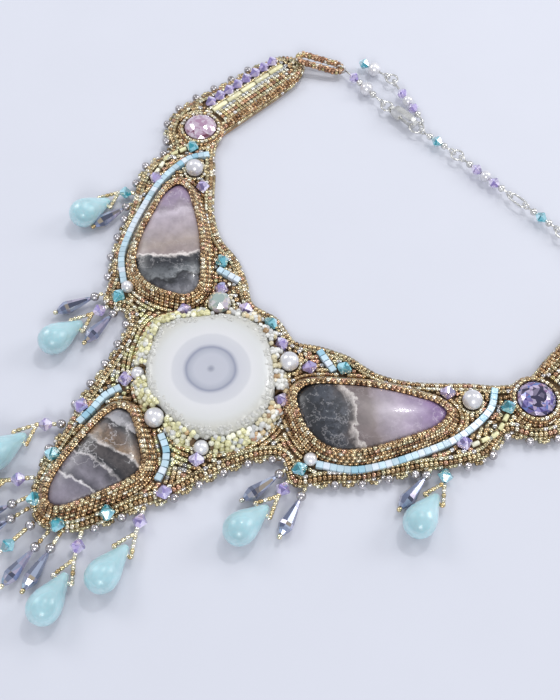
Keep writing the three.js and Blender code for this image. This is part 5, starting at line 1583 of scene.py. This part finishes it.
CHAIN_HEIGHT = 2.6
CHAIN_ROUTE = {
    "loop_left": (-60.6, 120.6), "ring_left": (-36.1, 119.3), "ring_middle": (-3.3, 119.8),
    "oval": (24.0, 119.2), "ring_right": (42.9, 119.0), "loop_right": (60.6, 120.6),
    "ring_tail": (-44.0, 130.6), "tail_end": (-58.4, 128.6), "clasp_ring": (-21.85, 119.3),
}
LOOP_ROOT = (1.95, 49.25)
WIRE, EYE = 0.7, 3.0
RING_REACH, CLASP_REACH, OVAL_REACH = 2.15, 2.55, 3.45


def chain_place(name, shift=0.0):
    x, y = CHAIN_ROUTE[name]
    return np.array([x + shift, y, CHAIN_HEIGHT])


class NECKLACE_OT_chain(bpy.types.Operator):
    """Add the chain: wire rings, beads on eye pins and the seed bead loops at the strap ends"""

    bl_idname = "necklace.chain"
    bl_label = "Chain"

    def execute(self, context):
        rings = (("ring_left", "ring_left", RING_REACH), ("ring_clasp", "clasp_ring", CLASP_REACH),
                 ("ring_middle", "ring_middle", RING_REACH), ("ring_right", "ring_right", RING_REACH),
                 ("ring_tail", "ring_tail", RING_REACH))
        for node, place, radius in rings:
            piece = ring_of_wire(f"wire_{node}", chain_place(place), radius, WIRE, silver())
            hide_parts(node)
        piece = ring_of_wire("wire_ring_oval", chain_place("oval"), 1.4, WIRE, silver(), 2.05)
        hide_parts("ring_oval")
        left, right = self.loop(-1, "left"), self.loop(1, "right")
        plate, lilac, aqua = ("silver", 2.5), ("violet", 4.0), ("teal", 4.0)
        small, large = ("pearl", 4.0), ("pearl", 5.0)
        place = chain_place
        self.link("string_left", place("loop_left"), place("ring_left", -RING_REACH),
                  [lilac, plate, large, plate], left)
        self.link("string_right", place("loop_right"), place("ring_right", RING_REACH),
                  [lilac, large, plate], right)
        self.link("link_aqua_left", place("clasp_ring", CLASP_REACH), place("ring_middle", -RING_REACH),
                  [plate, aqua, plate])
        self.link("link_lilac", place("ring_middle", RING_REACH), place("oval", -OVAL_REACH),
                  [plate, lilac, small, lilac, plate])
        self.link("link_aqua_right", place("oval", OVAL_REACH), place("ring_right", -RING_REACH),
                  [plate, aqua, plate])
        tail_start = chain_place("clasp_ring") + np.array([0, CLASP_REACH, 0])
        tail_ring = chain_place("ring_tail")
        heading = (tail_ring - tail_start) / np.linalg.norm(tail_ring - tail_start)
        self.link("tail_link", tail_start, tail_ring - heading * RING_REACH, [plate, lilac, small, lilac],
                  leaving=np.array([0, 1.0, 0]))
        self.tail(tail_ring, large, aqua)
        return {"FINISHED"}

    def loop(self, side, name):
        """The doubled run of seed beads at a strap's end, and the direction that it leaves in"""
        start = np.array([*on_strap(*LOOP_ROOT, side), 4.8])
        end = chain_place(f"loop_{name}")
        ahead = (end - start) * np.array([1, 1, 0])
        length = float(np.linalg.norm(ahead)) + 2.2
        ahead /= np.linalg.norm(ahead)
        across = np.array([-ahead[1], ahead[0], 0.0])
        middle = (start + end) / 2
        half, radius = length / 2, 2.0
        fall = (end[2] - start[2]) / length
        path = []
        for angle in np.linspace(0, 2 * math.pi, 120, endpoint=False):
            x = radius * math.cos(angle) + math.copysign(half - 3.1, math.cos(angle))
            y = radius * math.sin(angle)
            spot = middle + ahead * x + across * y
            spot[2] = start[2] + (x + half) * fall
            path.append(spot)
        path = evenly(np.array(path), 400)
        rng = np.random.default_rng(71 if side > 0 else 72)
        places, headings = [], []
        count = int(length_of(path) / 1.25)
        along = evenly(path, count)
        ways = tangents(along)
        for i in range(count):
            normal = np.array([0, 0, 1.0]) - ways[i] * ways[i][2]
            normal /= np.linalg.norm(normal)
            other = np.cross(ways[i], normal)
            for k in range(4):
                angle = math.pi * (k / 2 + 0.25 * (i % 2))
                places.append(along[i] + (normal * math.cos(angle) + other * math.sin(angle)) * 0.6)
                headings.append(ways[i])
        piece = beads(f"loop_beads_{name}", "seed", places, headings, 1.3, 1.4,
                      bead_colours(COPPER_MIX, len(places), rng), metal_beads())
        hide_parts(f"loop_{name}")
        return ahead

    def link(self, node, start, end, run, loop_heading=None, leaving=None):
        """Beads on a wire between two eyes"""
        first_eye = 2.2 + 2 * (WIRE + 0.3) if loop_heading is not None else EYE
        ahead = (end - start) / np.linalg.norm(end - start)
        leave = loop_heading if loop_heading is not None else leaving if leaving is not None else ahead
        from_eye = start + leave * (first_eye - WIRE) / 2
        way = (end - from_eye) / np.linalg.norm(end - from_eye)
        to_eye = end - way * (EYE - WIRE) / 2
        piece = tube(f"wire_{node}", np.linspace(from_eye, to_eye, 8), WIRE / 2, silver(), False, 12)
        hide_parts(node)
        ring_of_wire(f"eye_start_{node}", start, (first_eye - WIRE) / 2, WIRE, silver(), upright=leave)
        ring_of_wire(f"eye_end_{node}", end, (EYE - WIRE) / 2, WIRE, silver(), upright=way)
        self.string(node, from_eye, way, float(np.linalg.norm(to_eye - from_eye)), run)

    def string(self, node, start, way, length, run):
        used = sum(size for _, size in run)
        at = (length - used) / 2
        for number, (kind, size) in enumerate(run):
            place = start + way * (at + size / 2)
            at += size
            if kind in ("violet", "teal"):
                beads(f"{kind}_{node}_{number}", "bicone", [place], way, size * 0.96, size, (1, 1, 1),
                      crystal(kind))
            else:
                beads(f"{kind}_{node}_{number}", "round", [place], way, size * 0.97, size, (1, 1, 1),
                      pearl() if kind == "pearl" else silver())

    def tail(self, ring, big_pearl, crystal_bead):
        end = chain_place("tail_end")
        way = (end - ring) / np.linalg.norm(end - ring)
        eye = ring + way * RING_REACH
        start = eye + way * (EYE - WIRE) / 2
        length = float(np.linalg.norm(end - start))
        piece = tube("wire_tail_end", np.linspace(start, end, 8), WIRE / 2, silver(), False, 12)
        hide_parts("tail_end")
        ring_of_wire("eye_tail_end", eye, (EYE - WIRE) / 2, WIRE, silver(), upright=way)
        self.string("tail_end", start, way, 2 * length - 9.0, [big_pearl, crystal_bead])


class NECKLACE_OT_clasp(bpy.types.Operator):
    """Finish the lobster clasp and its trigger in silver plate"""

    bl_idname = "necklace.clasp"
    bl_label = "Clasp"

    def execute(self, context):
        carried("clasp_body", silver())
        carried("clasp_trigger", silver())
        return {"FINISHED"}


class NECKLACE_OT_stage(bpy.types.Operator):
    """Add the pale surface, the soft lights and the camera"""

    bl_idname = "necklace.stage"
    bl_label = "Stage"

    def execute(self, context):
        mesh = bpy.data.meshes.new("surface")
        reach = 3.0
        mesh.from_pydata([(-reach, -reach, -0.0002), (reach, -reach, -0.0002), (reach, reach, -0.0002),
                          (-reach, reach, -0.0002)], [], [(0, 1, 2, 3)])
        mesh.materials.append(use("surface", surface_finish))
        floor = bpy.data.objects.new("surface", mesh)
        context.scene.collection.objects.link(floor)
        world = bpy.data.worlds.new("studio")
        world.use_nodes = True
        world.node_tree.nodes["Background"].inputs["Color"].default_value = (0.86, 0.89, 0.98, 1)
        world.node_tree.nodes["Background"].inputs["Strength"].default_value = 0.59
        context.scene.world = world
        context.scene.view_settings.view_transform = "Standard"
        target = Vector((0, 0.02, 0))
        for name, place, size, power, mirrored in (("window", (-0.25, 0.55, 0.7), 0.5, 2.3, False),
                                                    ("left_box", (-0.5, -0.05, 0.45), 0.26, 1.0, True),
                                                    ("back_box", (0.3, 0.68, 0.42), 0.34, 2.0, True),
                                                    ("front_box", (0.5, -0.42, 0.5), 0.28, 2.5, True),
                                                    ("spark", (-0.1, 0.42, 0.75), 0.05, 1.1, True)):
            light = bpy.data.lights.new(name, "AREA")
            light.size = size
            light.energy = power
            lamp = bpy.data.objects.new(name, light)
            lamp.location = place
            lamp.rotation_euler = (target - Vector(place)).to_track_quat("-Z", "Y").to_euler()
            lamp.visible_glossy = mirrored
            context.scene.collection.objects.link(lamp)
        eye = bpy.data.cameras.new("camera")
        eye.lens = 45.25
        eye.sensor_width = 36
        eye.clip_start = 0.005
        camera = bpy.data.objects.new("camera", eye)
        camera.location = (0.1017, -0.0703, 0.2415)
        aim = Vector((0.00779, 0.0217, 0)) - Vector(camera.location)
        camera.rotation_euler = aim.to_track_quat("-Z", "Y").to_euler()
        context.scene.collection.objects.link(camera)
        context.scene.camera = camera
        return {"FINISHED"}


class NECKLACE_PT_panel(bpy.types.Panel):
    """The necklace's pieces and their settings"""

    bl_idname = "NECKLACE_PT_panel"
    bl_label = "Necklace"
    bl_space_type = "VIEW_3D"
    bl_region_type = "UI"
    bl_category = "Necklace"

    def draw(self, context):
        for settings in (context.scene.necklace_sizes, context.scene.necklace_colours):
            for label in settings.bl_rna.properties.keys():
                if label not in ("rna_type", "name"):
                    self.layout.prop(settings, label)
        for operator in OPERATORS:
            self.layout.operator(operator.bl_idname)


OPERATORS = (
    NECKLACE_OT_stage, NECKLACE_OT_stones, NECKLACE_OT_crystals, NECKLACE_OT_carpet, NECKLACE_OT_settings,
    NECKLACE_OT_surround, NECKLACE_OT_edges, NECKLACE_OT_straps, NECKLACE_OT_pearls, NECKLACE_OT_fringe,
    NECKLACE_OT_chain, NECKLACE_OT_clasp,
)
CLASSES = (NecklaceSizes, NecklaceColours, *OPERATORS, NECKLACE_PT_panel)


def register():
    for cls in CLASSES:
        bpy.utils.register_class(cls)
    bpy.types.Scene.necklace_sizes = bpy.props.PointerProperty(type=NecklaceSizes)
    bpy.types.Scene.necklace_colours = bpy.props.PointerProperty(type=NecklaceColours)


def unregister():
    del bpy.types.Scene.necklace_sizes
    del bpy.types.Scene.necklace_colours
    for cls in reversed(CLASSES):
        bpy.utils.unregister_class(cls)


def main():
    register()
    for operator in OPERATORS:
        getattr(bpy.ops.necklace, operator.bl_idname.split(".")[1])()


if __name__ == "__main__":
    main()
